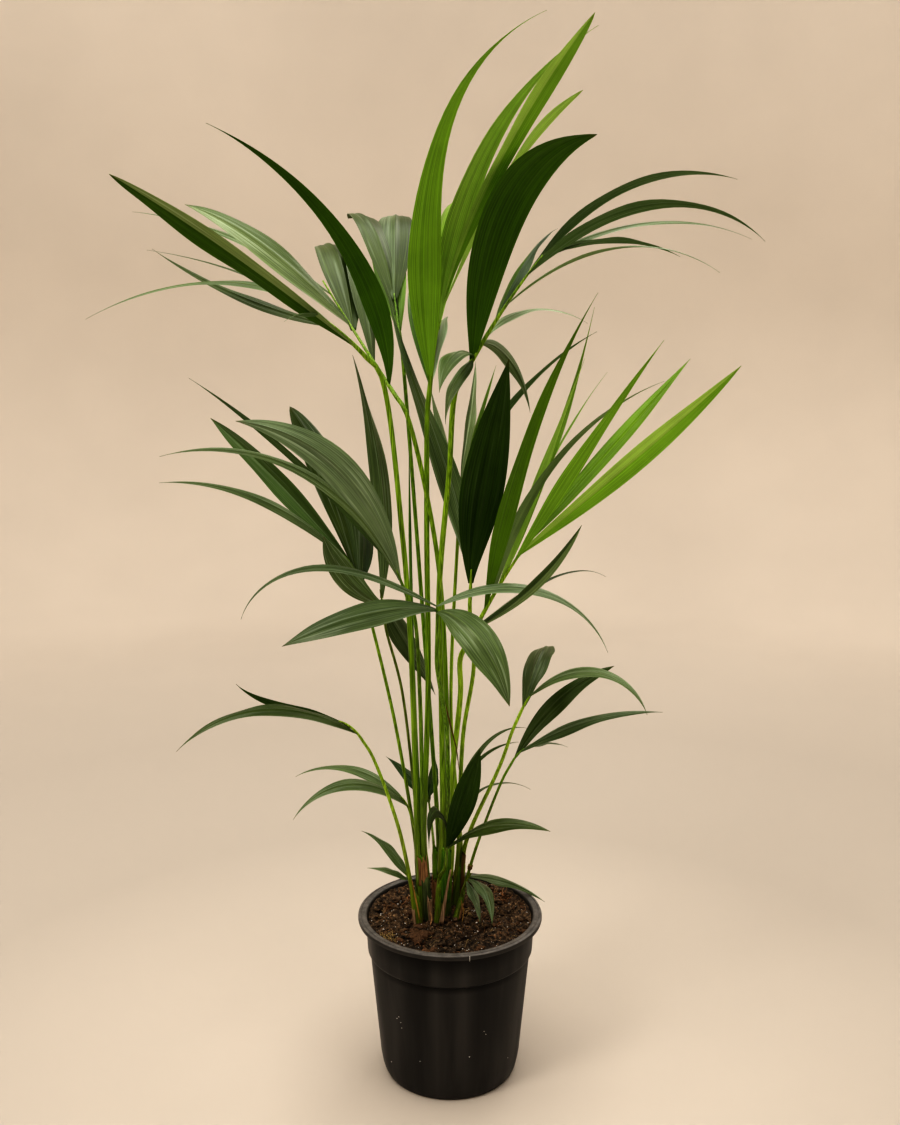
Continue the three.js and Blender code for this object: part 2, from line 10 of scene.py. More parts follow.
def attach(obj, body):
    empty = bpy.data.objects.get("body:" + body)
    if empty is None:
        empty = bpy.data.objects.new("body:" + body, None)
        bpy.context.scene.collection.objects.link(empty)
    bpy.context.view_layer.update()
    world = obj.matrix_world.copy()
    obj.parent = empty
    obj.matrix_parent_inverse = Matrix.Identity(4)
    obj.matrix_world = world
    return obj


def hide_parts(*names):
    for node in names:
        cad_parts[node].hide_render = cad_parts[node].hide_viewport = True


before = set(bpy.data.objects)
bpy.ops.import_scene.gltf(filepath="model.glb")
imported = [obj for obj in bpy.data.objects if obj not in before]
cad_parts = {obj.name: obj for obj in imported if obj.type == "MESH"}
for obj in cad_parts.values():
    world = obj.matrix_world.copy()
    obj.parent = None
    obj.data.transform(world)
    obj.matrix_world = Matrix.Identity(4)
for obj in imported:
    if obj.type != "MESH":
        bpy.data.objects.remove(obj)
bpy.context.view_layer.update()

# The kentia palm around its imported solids. Lengths in the tables are millimetres and angles
# degrees, in the frame of the solids: +Z up, origin under the pot's centre, +Y away from the
# viewer. Lengths in the materials and the stage are metres.
MM = 0.001
CHANCE = random.Random(7)

# ---- sizes

GAP = 0.3  # between a stem's top and the stalks on it, and between a stalk and its frond
SOIL_TOP = 166.0
STALK_LEAD = 18.0  # how far a stalk first follows its stem, and last its frond's rib
STALK_SINK = 26.0  # how far a stalk reaches down into its stem's sheath
STALK_FLATTEN = 0.86
STALK_SWELL = 0.35  # how much wider a stalk is at its foot
RIB_END = 0.8  # radius of a rib at its last leaflet
BLADE_ROOT = 0.12  # width where a leaflet leaves the rib, over its full width
BLADE_FOLD = 0.16  # how far the midrib stands above the edges, over the half width
BLADE_THICK = 0.5
MIDRIB_HEIGHT = 0.45
PLEAT = 0.035  # height of the pleats over the half width
BEND = 1.4  # usual bend of a leaflet; above 1, it droops more toward its tip
BELLY = 0.35  # usual place of a leaflet's greatest width

# foot: where the stem stands on the soil, top: centre of its upper end, radius: of the sheath,
# seat: radius of the ring on which the stalks stand
STEMS = {
    1: dict(foot=(-24, 6), top=(-29, 8, 230), radius=7.0, seat=3.8),
    2: dict(foot=(-15, -6), top=(-12, -10, 209), radius=3.2, seat=0),
    3: dict(foot=(-8, 15), top=(-4, 14, 238), radius=7.8, seat=4.7),
    4: dict(foot=(8, 36), top=(11, 36, 212), radius=6.2, seat=3.3),
    5: dict(foot=(5, 0), top=(11, 8, 184), radius=4.4, seat=2.3),
    6: dict(foot=(-33, -6), top=(-36, -7, 189), radius=4.8, seat=2.6),
    7: dict(foot=(-30, 28), top=(-33, 30, 220), radius=5.6, seat=3.2),
    8: dict(foot=(-14, 38), top=(-15, 41, 224), radius=5.0, seat=2.8),
}

# stem, seat: the stem the stalk stands on, and its direction on the ring
# girth: radius of the stalk at its foot and at the frond
# way: points the stalk passes, where it isn't straight
# head: where the stalk ends and the frond begins
# rib: (bearing, rise, length, droop) of the frond's rib
# tints: for each leaflet a letter of TINTS, or two for its left and right half, where the halves
# differ by painted sheen and painted shade
# leaflets: (at, bearing, rise, length, width, droop, sweep, roll, bend, belly); at and belly are
# shares of the rib's and the leaflet's length, and bend and belly may be left out
FRONDS = {}
FRONDS["high_left"] = dict(
    stem=3, seat=90, girth=(2.6, 2.2), head=(-54, 20, 725), rib=(138, 47, 160, -2),
    way=[(-4, 19, 419), (-14, 21, 568)], tints="e ws s gd g", leaflets=[
        (0.1, -158, 96, 330, 26, 83, 26, -40, 0.8, 0.27),
        (0.62, -139, 41, 205, 32, 27, -46, 55, 3.0, 0.45), (0.88, 154, 32, 255, 14, 26, 15, 20),
        (0.57, 99, 39, 280, 46, 60, 10, 5, 2.2, 0.5), (0.3, 101, 48, 260, 34, 60, 0, -30, 2.2, 0.5),
    ])
FRONDS["long_left"] = dict(
    stem=1, seat=180, girth=(3.0, 2.4), head=(-82, 0, 764), rib=(-160, 46, 85, 21),
    way=[(-41, 7, 476), (-48, 4, 581)], tints="we s g s g", leaflets=[
        (0.17, -156, 36, 280, 26, 10, 15, -30, 1.4, 0.55), (0.6, 158, 50, 275, 12, 78, 20, 25, 0.6),
        (0.53, 146, 12, 220, 16, -22, 30, 30), (0.72, -118, 12, 55, 10, 42, -10, -20),
        (0.45, 126, 26, 275, 10, 18, 45, 5),
    ])
FRONDS["high_back"] = dict(
    stem=8, seat=0, girth=(2.3, 1.9), head=(-54, 110, 788), rib=(103, 53, 55, -3),
    tints="gd md h", leaflets=[
        (0.47, 103, 48, 260, 38, 60, 10, -10, 2.2, 0.55),
        (0.85, 92, 43, 260, 44, 60, 0, 0, 2.2, 0.5), (0.1, 101, 48, 240, 36, 60, 0, 15, 2.2, 0.45),
    ])
FRONDS["tall_crown"] = dict(
    stem=1, seat=60, girth=(3.0, 2.6), head=(-21, 30, 730), rib=(0, 84, 80, 6),
    way=[(-23, 14, 420), (-24, 22, 599)], tints="y l yl l y e p", leaflets=[
        (0.15, -105, 71, 430, 34, 64, 58, -15, 1.4, 0.28),
        (0.85, -68, 79, 365, 26, 68, 13, 5, 0.8, 0.3),
        (1.0, -60, 67, 375, 20, 50, -12, -5, 0.6, 0.6),
        (1.0, 20, 66, 275, 20, 34, 0, 35, 2.2, 0.65), (0.78, 84, 49, 310, 36, 60, 0, 25, 2.2, 0.5),
        (0.1, 98, 51, 190, 32, 60, 0, -25, 2.2, 0.45), (0.1, 86, 35, 210, 26, 60, 0, 40, 2.2, 0.45),
    ])
FRONDS["high_right"] = dict(
    stem=3, seat=180, girth=(3.0, 2.6), head=(15, -20, 751), rib=(9, 60, 135, 10),
    way=[(-9, 6, 412), (-11, -2, 531), (-1, -12, 650)], tints="e s s s s p w s s ps ek", leaflets=[
        (0.1, -62, 78, 265, 48, 82, 29, 15, 2.2, 0.58), (0.72, 30, 52, 280, 16, 66, -20, 45),
        (0.82, -16, 44, 250, 18, 90, 0, 30), (0.95, 34, 24, 280, 12, 42, -10, -20),
        (1.0, 34, 20, 160, 14, 46, -25, 25), (0.55, -32, 38, 225, 10, 74, 15, 5),
        (0.28, 60, 34, 140, 14, 66, -55, -10), (0.12, -118, 34, 115, 24, 80, 20, 5, 0.6),
        (0.1, -116, -24, 80, 20, 72, -30, -5), (0.23, 54, 18, 110, 18, 98, -25, -75, 0.6),
        (0.42, 66, 40, 190, 20, 25, -5, 20, 2.2),
    ])
FRONDS["young_back"] = dict(
    stem=4, seat=90, girth=(1.9, 1.7), head=(10, 50, 616), rib=(0, 88, 25, 0),
    way=[(1, 42, 388)], tints="w sw h s", leaflets=[
        (0.33, 128, 62, 120, 18, -10, 0, -10, 2.2), (0.75, 50, 76, 135, 18, 18, 35, 30),
        (0.62, 62, 58, 150, 14, 6, 0, 30), (0.82, 18, 60, 215, 12, 32, -15, 45),
    ])
FRONDS["twin_dark"] = dict(
    stem=4, seat=210, girth=(2.3, 2.0), head=(21, 5, 527), rib=(-80, 80, 25, 0),
    way=[(14, 26, 366), (25, 16, 447)], tints="d s", leaflets=[
        (0.4, -55, 94, 245, 44, 36, -18, 20, 0.5, 0.42), (0.62, 104, 64, 320, 26, -16, 87, 25, 3.0),
    ])
FRONDS["bright_right"] = dict(
    stem=3, seat=0, girth=(3.1, 2.6), head=(19, 3, 475), rib=(-3, 64, 150, 13),
    way=[(2, 12, 321), (11, 6, 420)], tints="h y y y y yl p pg gd l", leaflets=[
        (0.25, -58, 74, 345, 22, 18, 25, 10), (0.42, 44, 58, 315, 16, -18, -15, 5),
        (0.52, 64, 50, 280, 10, 8, -25, 25), (0.64, -30, 58, 270, 18, 6, 0, 35),
        (0.82, 26, 44, 265, 20, 2, 0, -25, 1.4, 0.45),
        (0.71, -12, 40, 285, 24, -4, 10, 65, 1.4, 0.5), (0.36, -36, 76, 295, 16, 60, 60, 35),
        (0.1, -42, 32, 185, 13, -24, -5, 30, 1.4, 0.5), (0.12, 34, 26, 180, 11, 58, -5, 0, 3.0),
        (0.46, 8, 70, 245, 14, 4, 20, 65),
    ])
FRONDS["droop_front"] = dict(
    stem=3, seat=270, girth=(2.4, 2.1), head=(-13, -40, 479), rib=(-90, 84, 45, 5),
    way=[(-2, -4, 316), (-4, -18, 392)], tints="s m m p", leaflets=[
        (0.85, -49, 33, 135, 37, 106, 12, -30, 0.5, 0.45),
        (0.9, -162, 30, 160, 30, 58, -20, 45, 0.4, 0.45), (1.0, 176, 28, 220, 15, 100, 25, 20, 2.2),
        (1.0, 26, 20, 210, 17, 90, -35, -25),
    ])
FRONDS["mid_left"] = dict(
    stem=1, seat=-60, girth=(2.2, 1.9), head=(-42, -20, 524), rib=(-152, 69, 60, 9),
    way=[(-31, -6, 415)], tints="p g s", leaflets=[
        (0.4, -142, 72, 245, 38, 66, -20, 75, 1.4, 0.45), (0.62, 148, 44, 295, 14, 12, 25, -60),
        (0.23, -142, 62, 305, 16, 76, -15, 45),
    ])
FRONDS["dark_left"] = dict(
    stem=7, seat=180, girth=(1.9, 1.6), head=(-94, 60, 518), rib=(-158, 75, 50, 36),
    way=[(-60, 42, 378)], tints="s gs gm gk", leaflets=[
        (0.8, -158, 44, 220, 16, 46, 5, 40), (0.68, 174, 50, 220, 26, 16, -20, -80, 1.4, 0.5),
        (0.35, 120, 68, 205, 38, 20, 35, 25, 1.4, 0.58), (0.15, 86, 40, 230, 34, 70, 35, -30, 2.2),
    ])
FRONDS["leaning_left"] = dict(
    stem=7, seat=90, girth=(1.6, 1.4), head=(-71, 50, 496), rib=(180, 83, 25, 2),
    way=[(-52, 46, 411)], tints="s m s", leaflets=[
        (0.62, 68, 76, 265, 26, 4, 100, -15, 1.4, 0.55), (0.4, 50, -54, 140, 28, 12, -15, -90, 3.0),
        (0.35, -166, 18, 100, 26, -52, 0, 90, 0.6, 0.5),
    ])
FRONDS["bow_left"] = dict(
    stem=6, seat=180, girth=(2.2, 1.5), head=(-89, -30, 379), rib=(-161, 60, 35, 38),
    way=[(-54, -16, 280)], tints="d g", leaflets=[
        (0.53, 146, 12, 135, 14, -36, 75, -65, 3.0), (0.28, -160, 34, 200, 20, 76, 10, 20),
    ])
FRONDS["small_left"] = dict(
    stem=7, seat=270, girth=(1.6, 1.3), head=(-42, 18, 279), rib=(-170, 75, 25, 26),
    tints="s s", leaflets=[
        (0.57, 150, 38, 135, 16, 66, 40, 15), (0.47, -150, 46, 150, 19, 102, -5, 25),
    ])
FRONDS["foot_left"] = dict(
    stem=6, seat=0, girth=(1.5, 1.3), head=(-42, 0, 209), rib=(180, 69, 15, 6),
    tints="s s", leaflets=[
        (0.68, 148, 56, 70, 15, 42, 20, 10), (0.33, -126, 40, 60, 13, 30, -35, 25),
    ])
FRONDS["bow_right"] = dict(
    stem=4, seat=330, girth=(2.3, 1.6), head=(71, -40, 412), rib=(0, 67, 20, 12),
    way=[(23, 12, 268), (52, -18, 349)], tints="g s", leaflets=[
        (0.4, 74, 30, 130, 28, 50, 0, 10, 2.2, 0.6), (1.0, -12, 44, 145, 15, 112, -25, -30),
    ])
FRONDS["low_right"] = dict(
    stem=5, seat=90, girth=(1.7, 1.3), head=(65, 0, 345), rib=(0, 62, 20, 28),
    way=[(30, 8, 253)], tints="d m m", leaflets=[
        (0.38, 36, 52, 145, 22, 30, -40, -30, 1.4, 0.5), (0.72, -24, 36, 165, 17, 32, 0, -30),
        (1.0, 62, -4, 90, 10, 24, -20, -5),
    ])
FRONDS["low_front"] = dict(
    stem=2, seat=0, girth=(2.2, 1.8), head=(-4, -30, 252), rib=(-64, 77, 25, 0),
    tints="d g g m d g", leaflets=[
        (0.5, -54, 64, 145, 26, 8, -15, 20, 3.0, 0.45),
        (0.5, -48, 42, 150, 18, 46, 10, -35, 1.4, 0.45), (0.93, 66, 52, 125, 12, 84, -65, 15),
        (0.8, 54, 84, 140, 13, 84, -45, 65), (0.65, -140, 94, 105, 15, 190, 55, 50),
        (0.93, 52, 70, 155, 12, 86, -45, -15, 3.0),
    ])
FRONDS["tiny_back"] = dict(
    stem=8, seat=180, girth=(1.5, 1.2), head=(-22, 60, 266), rib=(180, 84, 25, 6),
    tints="k k k", leaflets=[
        (0.75, 136, 30, 70, 18, 10, 10, 10, 3.0), (0.42, 104, 42, 55, 14, 20, 55, -5),
        (0.65, 76, 38, 55, 18, -4, 10, 30),
    ])
FRONDS["foot_right"] = dict(
    stem=5, seat=-90, girth=(1.5, 1.3), head=(16, 4, 206), rib=(0, 66, 15, 7),
    tints="m gm p", leaflets=[
        (0.7, 50, -18, 105, 18, 18, -60, -15), (0.53, -52, 10, 80, 18, 60, -40, 10),
        (0.3, -62, -18, 50, 15, 62, -10, 25),
    ])

SPEAR = dict(stem=7, seat=0, girth=(1.7, 1.6), tip=(-42, 30, 674))
SPEAR_POINT = 0.2  # share of its length over which the spear tapers to its point

# ---- colours

# sRGB colours of the leaflets' upper side and underside, how glossy the upper side is, and the
# share of waxy bloom; the bloom's pale patches and the pale grey tints s, p and w are partly
# painted sheen, the grey of the bright room seen in the blades
TINTS = {
    "y": ("#7a9e2c", "#8dbb3e", 0.4, 0.1),
    "l": ("#849f52", "#b0d86a", 0.4, 0.15),
    "h": ("#6c8f28", "#668d1c", 0.4, 0.15),
    "e": ("#456808", "#476c10", 0.3, 0.05),
    "d": ("#3e4e24", "#375418", 0.3, 0.12),
    "k": ("#24400c", "#2c4a10", 0.3, 0.04),
    "g": ("#4c5c30", "#4c6434", 0.3, 0.3),
    "m": ("#586946", "#5a7242", 0.35, 0.4),
    "s": ("#687a50", "#627e4e", 0.35, 0.45),
    "p": ("#7c8e6c", "#849c6a", 0.5, 0.55),
    "w": ("#86986c", "#8ca068", 1.0, 0.8),
}
UNDER_GLOSS = 0.35
UNDER_BLOOM_AND_SHEEN = 0.6  # over the upper side's
# slot names of the fronds, where they aren't leaf
RECORD_SLOT = {
    **dict.fromkeys(["tall_crown", "bright_right"], "young_leaf"),
    **dict.fromkeys(["twin_dark", "dark_left", "leaning_left", "tiny_back"], "dark_leaf"),
}
# sRGB colours of the stalks, and whose stalks have them; the other stalks are green
STALK_COLOURS = {
    "lime": ("#93b42a", "young_back twin_dark bright_right bow_left bow_right small_left"),
    "deep": ("#6a8e1a", "high_back droop_front mid_left low_right low_front"),
    "dull": ("#6a7a2c", "leaning_left"),
}
STALK_GREEN = "#7ea01f"
SPEAR_COLOUR = "#4f7a24"
SHEATH_LOW, SHEATH_HIGH = "#6e7a2c", "#78a622"
PEAT_PALE, ROOT_COLOUR, STRAW_COLOUR = "#6c543f", "#b08560", "#c8b07a"
WALL_COLOUR = "#cec5ba"


def linear(code):
    channels = [int(code[i:i + 2], 16) / 255 for i in (1, 3, 5)]
    return tuple(c / 12.92 if c <= 0.04045 else ((c + 0.055) / 1.055) ** 2.4 for c in channels)


def shade(colour, by):
    return tuple(min(1.0, c * by) for c in colour)


def towards(colour, other, share):
    return tuple(a + (b - a) * share for a, b in zip(colour, other))


# ---- materials


class Shader:
    """A material with its Principled shader, and short calls to add and link nodes."""

    def __init__(self, name, specular):
        self.material = bpy.data.materials.new(name)
        self.material.use_nodes = True
        self.tree = self.material.node_tree
        self.shader = next(n for n in self.tree.nodes if n.type == "BSDF_PRINCIPLED")
        self.feed(self.shader, "Specular IOR Level", specular)
        self.place = self.node("TexCoord", {}).outputs["Object"]
        self.tone = None

    def node(self, kind, links, **values):
        made = self.tree.nodes.new("ShaderNode" + kind)
        for key, value in values.items():
            setattr(made, key, value)
        for socket, source in links.items():
            self.feed(made, socket, source)
        return made

    def feed(self, made, socket, source):
        """Links a source, or sets a number, vector or colour of three channels."""
        target = made.inputs[socket]
        if not isinstance(source, (int, float, tuple)):
            self.tree.links.new(source, target)
        elif target.type == "RGBA":
            target.default_value = (*source, 1.0)
        else:
            target.default_value = source

    def noise(self, vector, scale, detail=3, roughness=0.55):
        """Noise; three scales instead of one stretch it along the axes."""
        if isinstance(scale, tuple):
            vector, scale = self.node("Mapping", {"Vector": vector, "Scale": scale}).outputs[0], 1
        return self.node("TexNoise", {"Vector": vector, "Scale": scale, "Detail": detail,
                                      "Roughness": roughness}).outputs["Fac"]

    def split(self, vector):
        return self.node("SeparateXYZ", {"Vector": vector}).outputs

    def ramp(self, value, *stops):
        made = self.node("ValToRGB", {"Fac": value})
        elements = made.color_ramp.elements
        while len(elements) < len(stops):
            elements.new(0.5)
        for element, (position, colour) in zip(elements, stops):
            element.position = position
            element.color = (*colour, 1.0)
        return made.outputs["Color"]

    def cover(self, share, colour, blend="MIX"):
        """Lays a colour over the tone so far."""
        made = self.node("Mix", {0: share, 6: self.tone, 7: colour}, data_type="RGBA",
                         blend_type=blend)
        self.tone = made.outputs[2]

    def math(self, operation, first, second=0):
        return self.node("Math", {0: first, 1: second}, operation=operation).outputs[0]

    def times(self, first, second):
        return self.math("MULTIPLY", first, second)

    def plus(self, first, second):
        return self.math("ADD", first, second)

    def span(self, value, low, high, to_low, to_high):
        return self.node("MapRange", {"Value": value, "From Min": low, "From Max": high,
                                      "To Min": to_low, "To Max": to_high}).outputs[0]

    def band(self, value, start, full, ebb, end, share=1):
        """Rises from start to full, and falls from ebb to end."""
        return self.times(self.span(value, start, full, 0, share),
                          self.span(value, ebb, end, 1, 0))

    def bump(self, height, strength, distance):
        return self.node("Bump", {"Height": height, "Strength": strength,
                                  "Distance": distance}).outputs[0]

    def done(self, rough, normal=None):
        self.feed(self.shader, "Base Color", self.tone)
        self.feed(self.shader, "Roughness", rough)
        if normal is not None:
            self.feed(self.shader, "Normal", normal)
        return self.material


def leaf_material(name, code, gloss, bloom_and_sheen, underside):
    """A leaflet's skin: long veins and pleats, a waxy bloom that is partly painted sheen, a pale
    midrib and a satin sheen.
    """
    colour = linear(code)
    # how dark the broad patches are, how deep the veins, and the least and most roughness
    dusk, depth, least, most = (0.75, 0.5, 0.5, 0.66) if underside else (0.42, 0.35, 0.26, 0.42)
    s = Shader(name, gloss)
    s.feed(s.shader, "Specular Tint", (0.9, 1.0, 0.7))
    uv = s.node("UVMap", {}, uv_map="blade").outputs[0]
    across, along, _ = s.split(uv)
    veins = s.node("TexWave", {"Vector": uv, "Scale": 4.6}).outputs["Fac"]
    fine = s.noise(uv, (34, 1.4, 1))
    broad = s.noise(uv, (5, 2.2, 1))
    pleats = s.noise(uv, (15, 0.35, 1), 2)
    s.tone = s.ramp(fine, (0.28, shade(colour, 0.48)), (0.52, colour),
                    (0.76, towards(shade(colour, 1.7), (0.5, 0.55, 0.2), 0.04)))
    s.cover(s.span(pleats, 0.42, 0.66, 0, 0.7), shade(colour, 0.42))
    s.cover(s.span(veins, 0.7, 1, 0, 0.3), shade(colour, 1.8))
    s.cover(s.span(broad, 0.3, 0.75, 0, 0.5), shade(colour, dusk))
    s.cover(s.span(s.noise(s.place, 22), 0.35, 0.8, 0, 0.35),
            towards(shade(colour, 1.5), (0.4, 0.45, 0.02), 0.06))
    # waxy bloom: pale grey patches, partly painted sheen
    wax_and_sheen = s.times(s.span(s.noise(uv, (8, 1.9, 1), 2), 0.52, 0.64, 0, bloom_and_sheen),
                  s.span(fine, 0.35, 0.6, 0.3, 1))
    s.cover(wax_and_sheen, towards(shade(colour, 1.8), (0.58, 0.64, 0.55), 0.6))
    middle = s.math("ABSOLUTE", s.math("SUBTRACT", s.math("FRACT", across), 0.5))
    midrib = s.times(s.span(middle, 0.008, 0.025, 1, 0), s.span(along, 0, 0.25, 0.5, 0.05))
    s.cover(midrib, towards(shade(colour, 1.8), (0.42, 0.5, 0.12), 0.3))
    s.cover(s.times(s.span(along, 0.955, 1, 0, 0.75), broad), (0.16, 0.09, 0.03))
    height = s.plus(s.times(veins, 0.5), s.times(fine, 0.8))
    return s.done(s.span(fine, 0.2, 0.8, least, most), s.bump(height, depth, 0.0004))


def stalk_material(name, code):
    """A smooth stalk: fine lengthwise streaks, darker blotches and a browner foot."""
    colour = linear(code)
    s = Shader(name, 0.5)
    streak = s.noise(s.place, (900, 900, 14))
    blotch = s.noise(s.place, (60, 60, 12))
    s.tone = s.ramp(streak, (0.34, shade(colour, 0.5)), (0.5, shade(colour, 1.05)),
                    (0.68, towards(shade(colour, 1.7), (0.6, 0.62, 0.2), 0.15)))
    s.cover(s.span(blotch, 0.48, 0.8, 0, 0.6), shade(colour, 0.45))
    foot = s.times(s.span(s.split(s.place)[2], 0.22, 0.34, 0.8, 0), blotch)
    s.cover(foot, (0.12, 0.08, 0.025))
    return s.done(s.span(streak, 0.2, 0.8, 0.26, 0.42), s.bump(streak, 0.35, 0.0003))


def sheath_material():
    """A stem's sheath: fibrous green that turns brown and papery in patches toward the soil."""
    s = Shader("sheath", 0.35)
    low, high = linear(SHEATH_LOW), linear(SHEATH_HIGH)
    fibre = s.noise(s.place, (1100, 1100, 22), 4)
    patch = s.noise(s.place, (110, 110, 38), 4)
    rise = s.span(s.split(s.place)[2], 0.166, 0.234, 0, 1)
    s.tone = low
    s.cover(rise, high)
    s.cover(s.span(fibre, 0.45, 0.75, 0, 0.75), shade(low, 0.35))
    s.cover(s.span(fibre, 0.3, 0.45, 0.45, 0), shade(high, 1.7))
    bark = s.ramp(fibre, (0.3, (0.055, 0.03, 0.016)), (0.5, (0.17, 0.09, 0.045)),
                  (0.75, (0.36, 0.22, 0.13)))
    share = s.span(s.math("SUBTRACT", patch, s.times(rise, 0.12)), 0.52, 0.68, 0, 0.9)
    s.cover(share, bark)
    return s.done(s.span(share, 0, 1, 0.42, 0.8), s.bump(fibre, 0.7, 0.0006))


def dry_material(name, code):
    """Dead papery strips and fibres."""
    colour = linear(code)
    s = Shader(name, 0.25)
    fibre = s.noise(s.place, (900, 900, 40), 4)
    s.tone = s.ramp(fibre, (0.3, shade(colour, 0.35)), (0.55, colour), (0.8, shade(colour, 1.5)))
    return s.done(s.span(fibre, 0.2, 0.8, 0.7, 0.9), s.bump(fibre, 0.6, 0.0005))


def soil_material():
    """Moist peat: dark crumbs with paler and redder bits, and lighter toward the back."""
    s = Shader("peat", 0.3)
    grain = s.noise(s.place, 260, 5, 0.65)
    crumb = s.node("TexVoronoi", {"Vector": s.place, "Scale": 230}).outputs["Distance"]
    s.tone = s.ramp(grain, (0.34, (0.01, 0.008, 0.006)), (0.5, (0.055, 0.038, 0.024)),
                    (0.62, (0.15, 0.105, 0.066)), (0.76, (0.45, 0.33, 0.21)))
    s.cover(s.span(s.noise(s.place, 45), 0.5, 0.75, 0, 0.4), (0.06, 0.034, 0.02))
    s.cover(s.span(s.split(s.place)[1], -0.06, 0.01, 0, 1), (1.75, 1.65, 1.5), "MULTIPLY")
    height = s.plus(s.times(crumb, 0.8), grain)
    return s.done(s.span(grain, 0.3, 0.8, 0.62, 0.95), s.bump(height, 0.9, 0.0016))


def speck_material():
    """White perlite, and the dust on the pot."""
    s = Shader("perlite", 0.3)
    grain = s.noise(s.place, 900)
    s.tone = s.ramp(grain, (0.3, (0.5, 0.46, 0.4)), (0.7, (0.9, 0.88, 0.84)))
    return s.done(s.span(grain, 0.2, 0.8, 0.75, 0.95), s.bump(grain, 0.5, 0.0003))


# painted highlights on the pot, upright lighter bands that stand in for reflections: (middle, half
# width)
PAINTED_SHEENS = [(-0.0135, 0.011), (0.0155, 0.0135)]


def pot_material():
    """Moulded plastic: near black, fine grain, painted upright sheens, painted shade under the rim
    and in its groove, and a greyer worn rim with a partly painted highlight on top.
    """
    s = Shader("pot_plastic", 0.3)
    scuff = s.noise(s.place, (45, 45, 3), 4, 0.5)
    wear_and_highlight = s.noise(s.place, 160, 4)
    across, _, height = s.split(s.place)
    s.tone = s.ramp(scuff, (0.34, (0.022, 0.0215, 0.0205)), (0.52, (0.031, 0.03, 0.0285)),
                    (0.7, (0.046, 0.0445, 0.042)))
    # painted highlights: upright lighter bands that stand in for reflections
    for middle, reach in PAINTED_SHEENS:
        s.cover(s.band(across, middle - reach, middle, middle, middle + reach, 0.42),
                (0.085, 0.081, 0.076))
    # painted shade: the collar darkened under the rim's overhang and in the groove above the step
    painted_rim_shadow = s.band(height, 0.15, 0.1718, 0.1722, 0.1726, 0.85)
    groove_shade = s.band(height, 0.1286, 0.1351, 0.1371, 0.1386, 0.8)
    s.cover(s.plus(painted_rim_shadow, groove_shade), (0.003, 0.003, 0.003))
    rim_side = s.span(height, 0.1724, 0.1732, 0, 0.45)
    s.cover(rim_side, (0.075, 0.07, 0.065))
    # the rim's top: worn grey, and partly a painted highlight
    lip = s.times(s.span(height, 0.1768, 0.1775, 0, 1), s.span(wear_and_highlight, 0.3, 0.7, 0.35, 0.95))
    s.cover(lip, (0.21, 0.195, 0.18))
    return s.done(s.span(scuff, 0.35, 0.68, 0.46, 0.36),
                  s.bump(s.noise(s.place, 1500), 0.2, 0.0002))


# ---- mesh helpers


def direction(bearing, rise):
    b, r = radians(bearing), radians(rise)
    return np.array([cos(r) * cos(b), cos(r) * sin(b), sin(r)])


def unit(vector):
    return vector / np.linalg.norm(vector)


def put(name, data):
    """A new object in the scene."""
    made = bpy.data.objects.new(name, data)
    bpy.context.scene.collection.objects.link(made)
    return made


def around(radius, turn, side, front):
    """Offsets from an axis to the ring round it, at the given turns."""
    return np.outer(radius * np.cos(turn), side) + np.outer(radius * np.sin(turn), front)


class Heap:
    """Gathers closed skins in millimetres and turns them into one piece in metres."""

    def __init__(self):
        self.points, self.faces, self.kinds, self.uvs = [], [], [], []
        self.creases = set()
        self.count = 0

    def add(self, points, faces, kinds=0, uvs=None, creases=()):
        points = np.asarray(points, float)
        self.points.append(points)
        self.faces += [[i + self.count for i in face] for face in faces]
        self.kinds += [kinds] * len(faces) if isinstance(kinds, int) else list(kinds)
        self.uvs.append(np.zeros((len(points), 2)) if uvs is None else np.asarray(uvs, float))
        self.creases.update((a + self.count, b + self.count) for a, b in creases)
        self.count += len(points)

    def skin(self, rings, kinds=0, uvs=None, creases=()):
        """A closed skin over rings of equal size; kinds is a number or one for each column."""
        rings = np.asarray(rings, float)
        levels, size = rings.shape[:2]
        column = np.arange(size)
        faces = []
        for level in range(levels - 1):
            a = level * size + column
            b = level * size + (column + 1) % size
            faces += np.stack([a, b, b + size, a + size], axis=1).tolist()
        kind = [kinds] * size if isinstance(kinds, int) else list(kinds)
        all_kinds = kind * (levels - 1) + [kind[0]] * 2
        last = (levels - 1) * size
        faces.append(column[::-1].tolist())
        faces.append((last + column).tolist())
        lines = [(level * size + c, (level + 1) * size + c)
                 for level in range(levels - 1) for c in creases]
        self.add(rings.reshape(-1, 3), faces, all_kinds,
                 None if uvs is None else np.asarray(uvs, float).reshape(-1, 2), lines)

    def piece(self, name, materials, slot, *nodes):
        mesh = bpy.data.meshes.new(name)
        points = np.concatenate(self.points) * MM
        mesh.from_pydata(points.tolist(), [], self.faces)
        for material in materials:
            mesh.materials.append(material)
        mesh.polygons.foreach_set("material_index", np.array(self.kinds, np.int32))
        mesh.polygons.foreach_set("use_smooth", np.ones(len(mesh.polygons), bool))
        corners = np.empty(len(mesh.loops), np.int32)
        mesh.loops.foreach_get("vertex_index", corners)
        layer = mesh.uv_layers.new(name="blade")
        layer.data.foreach_set("uv", np.concatenate(self.uvs)[corners].astype(np.float32).ravel())
        if self.creases:
            sharp = [tuple(sorted(edge.vertices)) in self.creases for edge in mesh.edges]
            mesh.attributes.new("sharp_edge", "BOOLEAN", "EDGE").data.foreach_set("value", sharp)
        mesh.validate()
        made = put(name, mesh)
        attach(made, "root")
        if nodes:
            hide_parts(*nodes)
        return made


